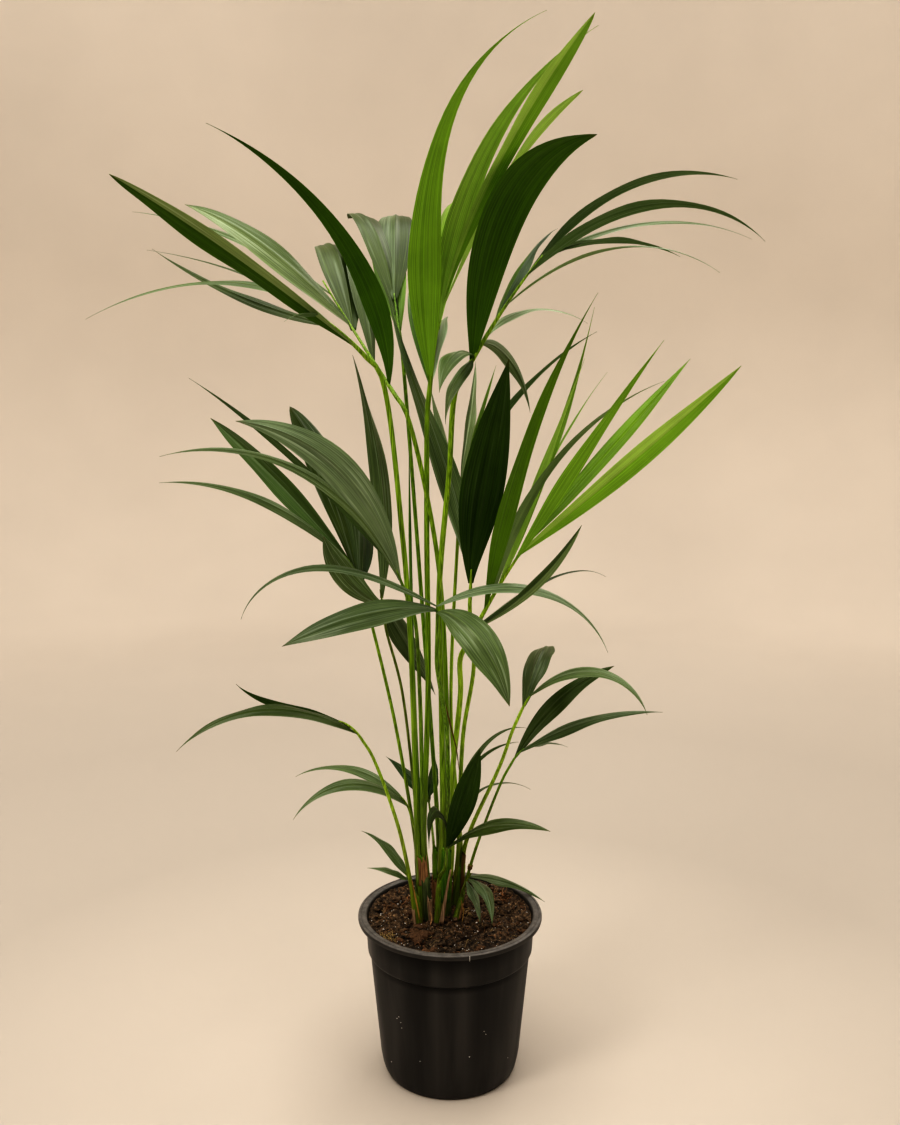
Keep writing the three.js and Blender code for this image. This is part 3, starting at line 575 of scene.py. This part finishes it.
def tube_rings(points, radii, facets, flatten=1.0, wobble=None):
    """Rings round a line of points; wobble(level, turn) scales the radius."""
    points = np.asarray(points, float)
    side = np.array([1.0, 0.0, 0.0])
    rings = []
    for i, point in enumerate(points):
        along = unit(points[min(i + 1, len(points) - 1)] - points[max(i - 1, 0)])
        side = unit(side - along * side.dot(along))
        front = np.cross(along, side)
        turn = 2 * pi * np.arange(facets) / facets
        r = radii[i] * (np.ones(facets) if wobble is None else wobble(i, turn))
        rings.append(point + around(r, turn, side, front * flatten))
    return np.array(rings)


def even_curve(points, count):
    """Points evenly spaced along a centripetal Catmull-Rom curve through the given points."""
    p = [np.array(q, float) for q in points]
    p = [2 * p[0] - p[1]] + p + [2 * p[-1] - p[-2]]
    dense = []
    for a, b, c, d in zip(p, p[1:], p[2:], p[3:]):
        d0, d1, d2 = (max(np.linalg.norm(v - u), 1e-6) ** 0.5 for u, v in ((a, b), (b, c), (c, d)))
        t1 = ((b - a) / d0 - (c - a) / (d0 + d1) + (c - b) / d1) * d1
        t2 = ((c - b) / d1 - (d - b) / (d1 + d2) + (d - c) / d2) * d1
        for t in np.arange(0, 1, 0.02):
            dense.append(b + t1 * t + (-3 * b + 3 * c - 2 * t1 - t2) * t * t
                         + (2 * b - 2 * c + t1 + t2) * t ** 3)
    dense.append(p[-2])
    dense = np.array(dense)
    reach = np.concatenate([[0], np.cumsum(np.linalg.norm(np.diff(dense, axis=0), axis=1))])
    at = np.linspace(0, reach[-1], count)
    return np.stack([np.interp(at, reach, dense[:, k]) for k in range(3)], axis=1)


# ---- stalks and ribs

STALK_STEPS = 48
SINK_STEPS = 4
RIB_STEPS = 18
STALK_FACETS = 14


def stem_direction(number):
    stem = STEMS[number]
    (fx, fy), (x, y, z) = stem["foot"], stem["top"]
    return unit(np.array([x - fx, y - fy, z - SOIL_TOP]))


def seat_of(number, seat):
    """Where a stalk stands on its stem."""
    stem = STEMS[number]
    turn = radians(seat)
    x, y, z = stem["top"]
    return np.array([x + stem["seat"] * cos(turn), y + stem["seat"] * sin(turn), z + GAP])


def rib_path(rib, head, steps):
    bearing, rise, length, droop = rib
    points = [np.array(head, float)]
    for i in range(steps):
        s = (i + 0.5) / steps
        points.append(points[-1] + direction(bearing, rise - droop * s ** BEND) * length / steps)
    return np.array(points)


def stalk_path(frond):
    start = seat_of(frond["stem"], frond["seat"])
    heading = direction(frond["rib"][0], frond["rib"][1])
    end = np.array(frond["head"], float) - GAP * heading
    lead = min(STALK_LEAD, np.linalg.norm(end - start) / 4)
    return even_curve([start, start + stem_direction(frond["stem"]) * lead,
                       *frond.get("way", []), end - heading * lead, end], STALK_STEPS)


def make_stalk(name, frond, material):
    """A stalk from inside its stem's sheath to the end of its frond's rib."""
    up = stem_direction(frond["stem"])
    stalk = stalk_path(frond)
    sunk = [stalk[0] - up * STALK_SINK * (1 - i / SINK_STEPS) for i in range(SINK_STEPS)]
    rib = rib_path(frond["rib"], frond["head"], RIB_STEPS)
    wide, thin = frond["girth"]
    share = np.linspace(0, 1, STALK_STEPS)
    radii = np.concatenate([
        np.full(SINK_STEPS, wide * (1 + STALK_SWELL)),
        (wide + (thin - wide) * share) * (1 + STALK_SWELL * np.exp(-share * 16)),
        thin + (RIB_END - thin) * np.linspace(0, 1, RIB_STEPS + 1)[1:] ** 0.9,
    ])
    heap = Heap()
    heap.skin(tube_rings(np.concatenate([sunk, stalk, rib[1:]]), radii, STALK_FACETS,
                         STALK_FLATTEN))
    heap.piece(f"petiole_{name}", [material], "stalk", f"stalk_{name}")


def make_spear():
    """The unopened leaf: it leaves its stem upward and ends in a short point."""
    start = seat_of(SPEAR["stem"], SPEAR["seat"])
    tip = np.array(SPEAR["tip"], float)
    middle = start + stem_direction(SPEAR["stem"]) * 0.5 * np.linalg.norm(tip - start)
    t = np.linspace(0, 1, 50)[:, None]
    line = (1 - t) ** 2 * start + 2 * t * (1 - t) * middle + t ** 2 * tip
    wide, thin = SPEAR["girth"]
    blunt = 0.1 * SPEAR_POINT
    radii = [wide + (thin - wide) * s if s < 1 - SPEAR_POINT
             else thin * (1 + blunt - s) / (SPEAR_POINT + blunt) for s in t[:, 0]]
    heap = Heap()
    heap.skin(tube_rings(line, radii, 12))
    heap.piece("spear", [stalk_material("spear_skin", SPEAR_COLOUR)], "leaf", "spear_leaf")


# ---- leaflets

COLUMNS = np.array([-1, -0.78, -0.56, -0.36, -0.18, -0.05, 0, 0.05, 0.18, 0.36, 0.56, 0.78, 1])
BLADE_STEPS = 30
LEAST_HALF = 0.18  # half width at a leaflet's tip
FROND_RIB_STEPS = 40


def fullness(s, belly):
    """A leaflet's width at a share of its length, over its full width."""
    if s < belly:
        return BLADE_ROOT + (1 - BLADE_ROOT) * sin(pi / 2 * s / belly) ** 1.1
    u = (s - belly) / (1 - belly)
    return (1 - u ** (1.5 + 4 * (belly - BELLY))) ** (1.25 - 2 * (belly - BELLY))


def blade(heap, root, leaflet, kinds, number):
    """One leaflet as a thin closed blade: folded at the midrib, softly pleated and waved."""
    _, bearing, rise, length, width, droop, sweep, roll = leaflet[:8]
    bend = leaflet[8] if len(leaflet) > 8 else BEND
    belly = leaflet[9] if len(leaflet) > 9 else BELLY
    turned = radians(roll)
    phase = CHANCE.uniform(0, 2 * pi)
    waves = CHANCE.uniform(1.6, 2.8)
    wave = CHANCE.uniform(0.5, 1.0)
    even = np.linspace(0, 1, BLADE_STEPS + 1)
    stations = 0.55 * even + 0.45 * 0.5 * (1 - np.cos(even * pi))
    span = np.abs(COLUMNS)
    rings, uvs = [], []
    centre = np.array(root, float)
    for i, s in enumerate(stations):
        heading = bearing + sweep * s
        along = direction(heading, rise - droop * s ** bend)
        level = direction(heading - 90, 0)
        upright = np.cross(level, along)
        across = level * cos(turned) + upright * sin(turned)
        face = upright * cos(turned) - level * sin(turned)
        half = max(LEAST_HALF, 0.5 * width * fullness(s, belly))
        ripple = sin(2 * pi * waves * s + phase) * wave * min(1, half / 8)
        z = (-BLADE_FOLD * half * span
             + PLEAT * half * np.cos(COLUMNS * 3.5 * pi) * (1 - span) ** 0.5
             + ripple * COLUMNS ** 2 * np.sign(COLUMNS) + 0.5 * ripple * COLUMNS ** 2)
        rib = MIDRIB_HEIGHT * min(1, half / 6) * np.exp(-(COLUMNS / 0.08) ** 2)
        thick = BLADE_THICK * (1 - 0.6 * s) * np.where(span > 0.99, 0.35, 1)
        flat = centre + np.outer(COLUMNS * half, across)
        top = flat + np.outer(z + thick / 2 + rib, face)
        low = flat + np.outer(z - thick / 2 - 0.4 * rib, face)
        for end in (0, -1):
            top[end] = flat[end] + z[end] * face
        rings.append(np.concatenate([top, low[-2:0:-1]]))
        u = number + 0.5 + 0.5 * np.concatenate([COLUMNS, COLUMNS[-2:0:-1]]) * 0.998
        uvs.append(np.stack([u, np.full(len(u), s)], axis=1))
        if i < BLADE_STEPS:
            ahead = (s + stations[i + 1]) / 2
            step = direction(bearing + sweep * ahead, rise - droop * ahead ** bend)
            centre = centre + step * length * (stations[i + 1] - s)
    left, right = kinds
    half = len(COLUMNS) // 2
    upper = [left] * half + [right] * half
    under = [right + 1] * half + [left + 1] * half
    heap.skin(rings, upper + under, uvs, creases=(0, len(COLUMNS) - 1))


def make_frond(name, frond, finishes):
    """A frond's leaflets, each half in its own tint, giving the halves painted sheen and painted
    shade.
    """
    rib = rib_path(frond["rib"], frond["head"], FROND_RIB_STEPS)
    tints = frond["tints"].split()
    used = sorted(set("".join(tints)))
    heap = Heap()
    for number, leaflet in enumerate(frond["leaflets"]):
        place = leaflet[0] * (len(rib) - 1)
        i = min(int(place), len(rib) - 2)
        root = rib[i] + (rib[i + 1] - rib[i]) * (place - i)
        kinds = [2 * used.index(tints[number][side]) for side in (0, -1)]
        blade(heap, root, leaflet, kinds, number)
    materials = [finishes[tint][side] for tint in used for side in (0, 1)]
    heap.piece(f"leaflets_{name}", materials, RECORD_SLOT.get(name, "leaf"), f"frond_{name}")


# ---- stems

STEM_FACETS = 48
STEM_LEVELS = 34
STEM_SUNK = 5.0  # how far a stem reaches below the soil's top
MOUTH_RISE, MOUTH_SLANT, MOUTH_RAG = 7, 5, 2.6  # of the sheath's mouth over the stem's top
MOUTH_INSIDE = [(0.86, 0), (0.8, 9), (0.1, 10)]  # its inside: (share of its width, depth)
NODE_HEIGHT = 223.0  # where the low_right stalk carries a torn brown node
TEAR = 11.0  # how ragged the scales' ends are


def stem_frame(number):
    """A stem's foot, its unit vectors along, to the right and away, and its length."""
    foot = np.array([*STEMS[number]["foot"], SOIL_TOP - STEM_SUNK])
    along = np.array(STEMS[number]["top"], float) - foot
    up = unit(along)
    side = unit(np.array([1.0, 0, 0]) - up * up[0])
    return foot, up, side, np.cross(up, side), np.linalg.norm(along)


def stem_radius(number, share, turn):
    """The sheath bulges over the foot of each stalk that it wraps, and closes in at its mouth."""
    stem = STEMS[number]
    seats = [radians(f["seat"]) for f in FRONDS.values() if f["stem"] == number]
    lobes = sum(np.exp(-(((turn - seat + pi) % (2 * pi) - pi) / 0.55) ** 2) for seat in seats)
    ridge = 0.86 + 0.2 * np.minimum(lobes, 1.2) + 0.025 * np.cos(turn * 9 + 2 * share)
    return stem["radius"] * ridge * (1 + 0.25 * exp(-share * 9)) * (1 - 0.26 * share ** 2.5)


def make_stem(number, material):
    """A sheathed stem: lobed sides, an oblique ragged mouth and a flare at the soil."""
    foot, up, side, front, length = stem_frame(number)
    lip = CHANCE.uniform(0, 2 * pi)
    turn = 2 * pi * np.arange(STEM_FACETS) / STEM_FACETS
    rag = np.array([noise.noise(Vector((cos(t) * 4, sin(t) * 4, number))) for t in turn])
    mouth = MOUTH_RISE + MOUTH_SLANT * np.cos(turn - lip) + MOUTH_RAG * rag
    rings = []
    for level in range(STEM_LEVELS + 1):
        s = level / STEM_LEVELS
        r = stem_radius(number, s, turn)
        rings.append(foot + np.outer(s * (length + mouth * s ** 2), up)
                     + around(r, turn, side, front))
    inner = rings[-1] - 0.5 * up
    centre = inner.mean(axis=0)
    for narrow, depth in MOUTH_INSIDE:
        rings.append(centre + (inner - centre) * narrow - up * depth)
    heap = Heap()
    heap.skin(rings)
    heap.piece(f"sheath_{number}", [material], "stem", f"stem_{number}")


def wrap(heap, number, turns, heights, lift, kind):
    """A dry scale or old leaf base that hugs a stem between two bearings and two heights."""
    foot, up, side, front, length = stem_frame(number)
    count, levels = 13, 10
    turn = np.radians(np.linspace(*turns, count))
    low, high = ((h - foot[2]) / up[2] / length for h in heights)
    seed = CHANCE.uniform(0, 50)
    tear = np.array([noise.noise(Vector((k * 0.45, seed, 0))) for k in range(count)])
    tear = tear * TEAR / length
    rings = []
    for level in range(levels + 1):
        share = level / levels
        s = low + (high - low) * share + tear * (share ** 2 - 0.4 * (1 - share) ** 2)
        rows = []
        for thick in (0.5, 0.0):
            r = stem_radius(number, float(np.clip(s.mean(), 0, 1)), turn)
            r = r + lift * (0.4 + share ** 2) + thick
            rows.append(foot + np.outer(s * length, up) + around(r, turn, side, front))
        rings.append(np.concatenate([rows[0], rows[1][::-1]]))
    heap.skin(rings, kind)


# scales round the stems: (stem, bearings, heights, lift, kind), kinds as in HUSK_CODES
WRAPS = [
    (1, (-150, -48), (207, 234), 0.9, 0), (1, (-118, -30), (164, 212), 0.5, 3),
    (1, (60, 150), (166, 220), 0.7, 0), (1, (-80, -20), (164, 190), 0.9, 1),
    (3, (-140, -40), (184, 242), 0.7, 4), (3, (20, 120), (166, 214), 0.7, 0),
    (4, (-75, -5), (170, 226), 0.4, 2), (4, (100, 190), (168, 206), 0.7, 0),
    (7, (-20, 70), (170, 210), 0.6, 0), (7, (120, 210), (166, 196), 0.7, 3),
    (8, (40, 140), (168, 212), 0.6, 2), (8, (-160, -70), (166, 198), 0.6, 0),
    (6, (150, 240), (166, 184), 0.5, 1), (5, (-60, 40), (168, 183), 0.5, 0),
]
# torn strips and dead fibres: (kind, half widths, points)
STRIPS = [
    (1, (0.9, 1.3, 2.0, 3.0), [(0.9, -6, 228), (-1.3, -6, 217), (-5.5, -7, 192), (-9.6, -8, 167)]),
    (5, (0.5, 0.9, 0.7), [(-40.6, -10, 218), (-36.4, -11, 197), (-32.2, -12, 174)]),
    (0, (0.6, 1.8, 1.2), [(-11.4, -8, 206), (-12.2, -8, 195), (-12.6, -9, 183)]),
    (2, (0.5, 0.9, 0.6, 0.3), [(-7.0, -9, 420), (1.0, -12, 388), (6.4, -14, 366), (9.6, -10, 341)]),
    (5, (0.4, 0.6, 0.3), [(12.0, 2, 189), (14.5, -2, 178), (13.0, -6, 168)]),
    (0, (0.4, 1.0, 0.5), [(-22.0, -2, 180), (-19.5, -8, 174), (-21.0, -13, 168)]),
]
HUSK_CODES = ["#aa8662", "#b0967c", "#75603a", "#64724a", "#5c8226", "#b08f52"]


def make_husks():
    """The dry scales and strips round the stems, and the torn node on the low_right stalk."""
    heap = Heap()
    for number, turns, heights, lift, kind in WRAPS:
        wrap(heap, number, turns, heights, lift, kind)
    for kind, widths, points in STRIPS:
        half = np.interp(np.linspace(0, 1, 16), np.linspace(0, 1, len(widths)), widths)
        heap.skin(tube_rings(even_curve(points, 16), half, 8, 0.22), kind)
    stalk = stalk_path(FRONDS["low_right"])
    spot = int(np.argmin(np.abs(stalk[:, 2] - NODE_HEIGHT)))
    along = unit(stalk[spot + 1] - stalk[spot])
    line = [stalk[spot] + along * step for step in (-3.5, -2.5, -0.8, 0.8, 2.2, 3.0)]
    heap.skin(tube_rings(line, (1.6, 2.1, 2.7, 2.4, 2.9, 1.7), 12, 0.9,
                         lambda level, turn: 1 + 0.16 * np.cos(turn * 4 + level)), 2)
    heap.piece("husks", [dry_material(f"husk_{i}", code) for i, code in enumerate(HUSK_CODES)],
               "stem")


# ---- soil

# the pot's outline as radii and heights
POT_PROFILE = [
    (0, 0), (67.8, 0), (68.9, 0.4), (69.9, 1.4), (71.9, 5.5), (73.5, 11.0), (74.6, 17.0),
    (75.5, 23.0), (85.5, 132.6), (85.2, 134.8), (85.6, 136.4), (87.9, 138.2), (88.35, 139.2),
    (88.55, 141.2), (90.2, 169.8), (90.4, 171.6), (91.0, 172.4), (97.2, 172.6), (98.2, 173.0),
    (98.5, 174.0), (98.5, 176.3), (98.1, 177.4), (97.2, 177.95), (96.2, 178.0), (95.7, 177.4),
    (94.7, 177.4), (94.2, 178.0), (91.6, 178.0), (90.2, 177.6), (89.2, 176.8), (88.6, 175.6),
    (88.0, 172.0), (85.7, 139.5), (82.6, 131.5), (72.9, 21.0), (68.0, 3.0), (0, 3.0),
]
WALL_ROWS = slice(6, 10)  # the rows of the pot's tapered wall

SOIL_EDGE = 87.6  # the soil meets the pot's inside just under the rim
SOIL_LUMP = 4.2
SOIL_FOOT, SOIL_FOOT_RADIUS = 134, 83  # the underside of the peat that shows
SOIL_TURNS, SOIL_CIRCLES = 192, 74
# heaps and hollows: (x, y, reach, height)
MOUNDS = [(-38, -44, 17, 4.0), (-70, 24, 20, 2.5), (58, 52, 20, 2.4), (-6, -18, 12, -2.4),
          (26, -16, 13, -2.0), (34, -58, 20, 1.4), (-46, 58, 18, 1.6)]


def soil_height(x, y):
    r = hypot(x, y)
    edge = max(0.0, (r - 60) / (SOIL_EDGE - 60))
    rise = edge ** 2 * (4.0 + 3.6 * min(1.0, max(0.0, (y + 50) / 90)))
    heaped = sum(h * exp(-((x - a) ** 2 + (y - b) ** 2) / (reach * reach))
                 for a, b, reach, h in MOUNDS)
    rough = noise.fractal(Vector((x * 0.06, y * 0.06, 3.0)), 1.0, 2.0, 3)
    crumbs = noise.fractal(Vector((x * 0.24, y * 0.24, 9.0)), 0.8, 2.1, 4)
    lumpy = SOIL_LUMP * rough * (1 - 0.6 * edge) + 3.0 * crumbs * (1 - 0.4 * edge)
    return SOIL_TOP + 0.6 + rise + heaped * (1 - 0.5 * edge) + lumpy


def make_soil(material):
    """The peat's lumpy surface, closed below by a flat foot."""
    turns, circles = SOIL_TURNS, SOIL_CIRCLES
    round_once = [(cos(a), sin(a)) for a in (2 * pi * k / turns
                                                       for k in range(turns))]
    points = [(0, 0, soil_height(0, 0))]
    for ring in range(1, circles + 1):
        r = SOIL_EDGE * (ring / circles)
        points += [(r * c, r * s, soil_height(r * c, r * s)) for c, s in round_once]
    points += [(SOIL_FOOT_RADIUS * c, SOIL_FOOT_RADIUS * s, SOIL_FOOT) for c, s in round_once]
    points.append((0, 0, SOIL_FOOT))
    faces = [[0, 1 + k, 1 + (k + 1) % turns] for k in range(turns)]
    for ring in range(circles):
        base = 1 + ring * turns
        for k in range(turns):
            n = (k + 1) % turns
            faces.append([base + k, base + turns + k, base + turns + n, base + n])
    last = 1 + circles * turns
    faces += [[last + (k + 1) % turns, last + k, last + turns] for k in range(turns)]
    heap = Heap()
    heap.add(points, faces)
    heap.piece("peat_bed", [material], "soil", "soil")


def lump(heap, place, size, squash, kind=0, detail=1):
    """A small irregular crumb."""
    ball = bmesh.new()
    bmesh.ops.create_icosphere(ball, subdivisions=detail, radius=1.0)
    seed = CHANCE.uniform(0, 90)
    spin = CHANCE.uniform(0, 2 * pi)
    points = []
    for vertex in ball.verts:
        place_in = vertex.co * 1.3 + Vector((seed, 0, 0))
        p = vertex.co * (1 + 0.5 * noise.noise(place_in) + 0.3 * noise.noise(place_in * 2.7))
        x, y = p.x * squash, p.y
        points.append((place[0] + size * (x * cos(spin) - y * sin(spin)),
                       place[1] + size * (x * sin(spin) + y * cos(spin)),
                       place[2] + size * 0.7 * p.z))
    heap.add(points, [[v.index for v in face.verts] for face in ball.faces], kind)
    ball.free()


def on_soil(limit, near=None, reach=0.0):
    """A chance spot on the soil, anywhere or about a given spot."""
    while True:
        if near is None:
            x, y = CHANCE.uniform(-limit, limit), CHANCE.uniform(-limit, limit)
        else:
            x, y = CHANCE.gauss(near[0], reach), CHANCE.gauss(near[1], reach)
        if hypot(x, y) < limit:
            return x, y


CRUMBS, CRUMB_REACH = 760, 85
PALE_CRUMBS = 0.14  # share of the crumbs
CLODS, CLOD_REACH = 26, 78
CLOD_SPOT = (80, (-38, -44), 11)  # reach, place and spread of the pale half of the clods
SPECKS, SPECK_REACH = 300, 86
FIBRE_REACH = 82
# fibres: (count, spot or None, reach, kind, least and most radius)
FIBRES = [(110, None, 0, 0, 0.12, 0.3), (22, (-70, -44), 8, 1, 0.15, 0.4),
          (9, (-50, 60), 9, 0, 0.3, 0.7), (18, (60, 54), 9, 0, 0.25, 0.6),
          (12, (12, 14), 6, 1, 0.15, 0.4), (10, (-26, 20), 5, 0, 0.2, 0.4),
          (26, None, 0, 1, 0.1, 0.25)]
# specks of dust stuck on the pot: (x, height)
POT_DUST = [(-53, 91), (-51, 85), (-55, 88), (-50, 79), (35, 81), (37, 77), (-31, 46),
            (20, 54), (-62, 28), (61, 34)]
RIM_SPOT = (19.7, -98.3, 173.6)  # a pale spot of white specks up the rim's front


def make_soil_bits(peats, perlite, fibres):
    """Crumbs and clods of peat, specks of perlite and dust, and loose fibres."""
    heap = Heap()
    for _ in range(CRUMBS):
        x, y = on_soil(CRUMB_REACH)
        size = 0.8 + 2.6 * CHANCE.random() ** 2.2
        kind = int(CHANCE.random() < PALE_CRUMBS)
        lump(heap, (x, y, soil_height(x, y) + 0.1 * size), size, CHANCE.uniform(0.8, 1.7), kind,
             2 if size > 1.5 else 1)
    for i in range(CLODS):
        pale = i % 2 == 0
        x, y = on_soil(*CLOD_SPOT) if pale else on_soil(CLOD_REACH)
        size = CHANCE.uniform(3.6, 7.0)
        lump(heap, (x, y, soil_height(x, y) - 0.5), size, CHANCE.uniform(1.0, 1.6), int(pale), 3)
    heap.piece("peat_crumbs", peats, "soil")
    heap = Heap()
    for _ in range(SPECKS):
        x, y = on_soil(SPECK_REACH)
        size = 0.3 + 0.75 * CHANCE.random() ** 2
        lump(heap, (x, y, soil_height(x, y) + 0.9), size, CHANCE.uniform(0.8, 1.5))
    wall_radii, wall_heights = zip(*POT_PROFILE[WALL_ROWS])
    for x, z in POT_DUST:
        r = float(np.interp(z, wall_heights, wall_radii))
        lump(heap, (x, -sqrt(r * r - x * x), z), 0.6, 1.0)
    for step in range(5):
        lump(heap, (RIM_SPOT[0], RIM_SPOT[1] + 0.25 * step, RIM_SPOT[2] + step), 0.5, 1.0)
    heap.piece("perlite_specks", [perlite], "soil")
    heap = Heap()
    for count, spot, reach, kind, least, most in FIBRES:
        for _ in range(count):
            fibre(heap, on_soil(FIBRE_REACH, spot, reach), kind, CHANCE.uniform(least, most))
    heap.piece("soil_fibres", fibres, "soil")


def fibre(heap, spot, kind, radius):
    """A thin root or straw that lies loosely on the soil."""
    bearing, length = CHANCE.uniform(0, 360), CHANCE.uniform(5, 15)
    curl = CHANCE.uniform(-140, 140)
    arch = CHANCE.uniform(0.4, 3.0)
    line, steps = [], 9
    place = np.array(spot)
    for i in range(steps + 1):
        lift = 0.5 + arch * sin(pi * i / steps) + CHANCE.uniform(0, 0.3)
        line.append((*place, soil_height(*place) + lift))
        place = place + direction(bearing + curl * i / steps, 0)[:2] * length / steps
        if np.hypot(*place) > CRUMB_REACH:
            break
    if len(line) > 3:
        taper = [radius * (1 - 0.6 * i / (len(line) - 1)) for i in range(len(line))]
        heap.skin(tube_rings(line, taper, 5), kind)


# ---- pot

POT_TURNS = 144
DRAIN_HOLES, DRAIN_RADIUS, DRAIN_CIRCLE, DRILL_LENGTH = 8, 5 * MM, 54 * MM, 12 * MM


def make_pot(material):
    """The turned pot with the drain holes drilled through its floor."""
    rings = []
    turn = 2 * pi * np.arange(POT_TURNS) / POT_TURNS
    for r, z in POT_PROFILE[1:-1]:
        rings.append(np.stack([r * np.cos(turn), r * np.sin(turn), np.full(POT_TURNS, z)], axis=1))
    heap = Heap()
    heap.skin(rings)
    pot = heap.piece("nursery_pot", [material], "pot", "pot")
    drill = bmesh.new()
    for i in range(DRAIN_HOLES):
        a = 2 * pi * (i + 0.5) / DRAIN_HOLES
        made = bmesh.ops.create_cone(drill, cap_ends=True, segments=32, radius1=DRAIN_RADIUS,
                                     radius2=DRAIN_RADIUS, depth=DRILL_LENGTH)
        bmesh.ops.translate(drill, verts=made["verts"],
                            vec=(DRAIN_CIRCLE * cos(a), DRAIN_CIRCLE * sin(a), 0))
    cutter = put("drill", bpy.data.meshes.new("drill"))
    drill.to_mesh(cutter.data)
    drill.free()
    holes = pot.modifiers.new("holes", "BOOLEAN")
    holes.object, holes.operation, holes.solver = cutter, "DIFFERENCE", "EXACT"
    bpy.context.view_layer.update()
    drilled = bpy.data.meshes.new_from_object(pot.evaluated_get(
        bpy.context.evaluated_depsgraph_get()))
    pot.modifiers.clear()
    pot.data = drilled
    bpy.data.objects.remove(cutter)
    drilled.set_sharp_from_angle(angle=radians(35))


# ---- assembly

finishes = {tint: (leaf_material(f"leaf_{tint}_upper", upper, gloss, bloom_and_sheen, False),
                   leaf_material(f"leaf_{tint}_under", under, UNDER_GLOSS, UNDER_BLOOM_AND_SHEEN * bloom_and_sheen,
                                 True))
            for tint, (upper, under, gloss, bloom_and_sheen) in TINTS.items()}
stalk_skins = dict.fromkeys(FRONDS, stalk_material("stalk_green", STALK_GREEN))
for tint, (code, names) in STALK_COLOURS.items():
    stalk_skins.update(dict.fromkeys(names.split(), stalk_material(f"stalk_{tint}", code)))
for name, frond in FRONDS.items():
    make_frond(name, frond, finishes)
    make_stalk(name, frond, stalk_skins[name])
sheath = sheath_material()
for number in STEMS:
    make_stem(number, sheath)
make_husks()
peat = soil_material()
make_soil(peat)
make_soil_bits([peat, dry_material("peat_pale", PEAT_PALE)], speck_material(),
               [dry_material("root_fibre", ROOT_COLOUR), dry_material("straw_fibre", STRAW_COLOUR)])
make_pot(pot_material())
make_spear()

# ---- stage, in metres

FLOOR_RADIUS = 3.0
NEAR_FLOOR = 1.0
WALL_TOP = 3.2
COVE = 1.0
COVE_STEPS = 12
STAGE_TURNS = 48
STAGE_PROFILE = [(0.001, 0.0), (NEAR_FLOOR, 0.0), (FLOOR_RADIUS - COVE, 0.0)]
for i in range(1, COVE_STEPS + 1):
    a = pi / 2 * i / COVE_STEPS
    STAGE_PROFILE.append((FLOOR_RADIUS - COVE + COVE * sin(a), COVE - COVE * cos(a)))
STAGE_PROFILE.append((FLOOR_RADIUS, WALL_TOP))


def make_stage(name, profile, first, last, in_gloss):
    """A share of the bowl of floor, cove and wall round the plant, between two bearings."""
    points, faces = [], []
    for r, z in profile:
        for k in range(STAGE_TURNS + 1):
            a = radians(first + (last - first) * k / STAGE_TURNS)
            points.append((r * cos(a), r * sin(a), z))
    row = STAGE_TURNS + 1
    for i in range(len(profile) - 1):
        for k in range(STAGE_TURNS):
            low = i * row + k
            faces.append([low, low + 1, low + row + 1, low + row])
    mesh = bpy.data.meshes.new(name)
    mesh.from_pydata(points, [], faces)
    mesh.polygons.foreach_set("use_smooth", np.ones(len(mesh.polygons), bool))
    mesh.materials.append(plaster)
    floor = put(name, mesh)
    floor.visible_glossy = in_gloss


def plaster_material():
    """Pale plaster, with painted shade in a ring of floor where the light would pool."""
    s = Shader("studio_plaster", 0.2)
    colour = linear(WALL_COLOUR)
    s.tone = s.ramp(s.noise(s.place, 1.2), (0.3, shade(colour, 0.95)), (0.7, shade(colour, 1.04)))
    x, y, _ = s.split(s.place)
    away = s.math("SQRT", s.plus(s.times(x, x), s.times(y, y)))
    # painted shade: a darker ring that evens out the pool of light
    s.cover(s.band(away, 0.2, 0.65, 1.2, 2.2), shade(colour, 0.8))
    return s.done(0.9)


def add_light(name, place, target, size, power, colour):
    lamp = bpy.data.lights.new(name, "AREA")
    lamp.shape, lamp.size, lamp.energy, lamp.color = "DISK", size, power, colour
    made = put(name, lamp)
    made.location = place
    made.rotation_euler = (Vector(target) - Vector(place)).to_track_quat("-Z", "Y").to_euler()


plaster = plaster_material()
make_stage("studio_back", STAGE_PROFILE, -10, 190, True)
make_stage("studio_near", STAGE_PROFILE[:2], 190, 350, True)
make_stage("studio_front", STAGE_PROFILE[1:], 190, 350, False)
add_light("sky", (0, 0.2, 3.1), (0, 0.2, 0), 4.4, 80, (1.0, 0.97, 0.93))
add_light("key", (-1.5, -1.3, 2.2), (0, 0, 0.6), 0.8, 14, (1.0, 0.96, 0.9))
add_light("fill", (1.8, -1.5, 1.3), (0, 0, 0.5), 1.4, 4, (1.0, 0.97, 0.92))
add_light("back", (0.9, 1.9, 2.3), (0, 0, 0.6), 1.2, 6, (1.0, 0.97, 0.92))

scene = bpy.context.scene
scene.world = bpy.data.worlds.new("studio")
scene.world.use_nodes = True
backdrop = scene.world.node_tree.nodes["Background"]
backdrop.inputs["Color"].default_value = (1.0, 0.95, 0.88, 1.0)
backdrop.inputs["Strength"].default_value = 0.03
scene.view_settings.view_transform = "Standard"
scene.view_settings.look = "Very High Contrast"

# the camera fitted to the pot: distance and height in metres, pitch below level, focal length
AWAY, EYE_HEIGHT, LOOK_DOWN, FOCAL_LENGTH = 1.2, 0.777, 10.3, 38.3
lens = bpy.data.cameras.new("camera")
lens.sensor_width = 36.0
lens.lens = FOCAL_LENGTH
camera = put("camera", lens)
camera.location = (0, -AWAY, EYE_HEIGHT)
camera.rotation_euler = (radians(90 - LOOK_DOWN), 0, 0)
scene.camera = camera

bpy.context.view_layer.update()
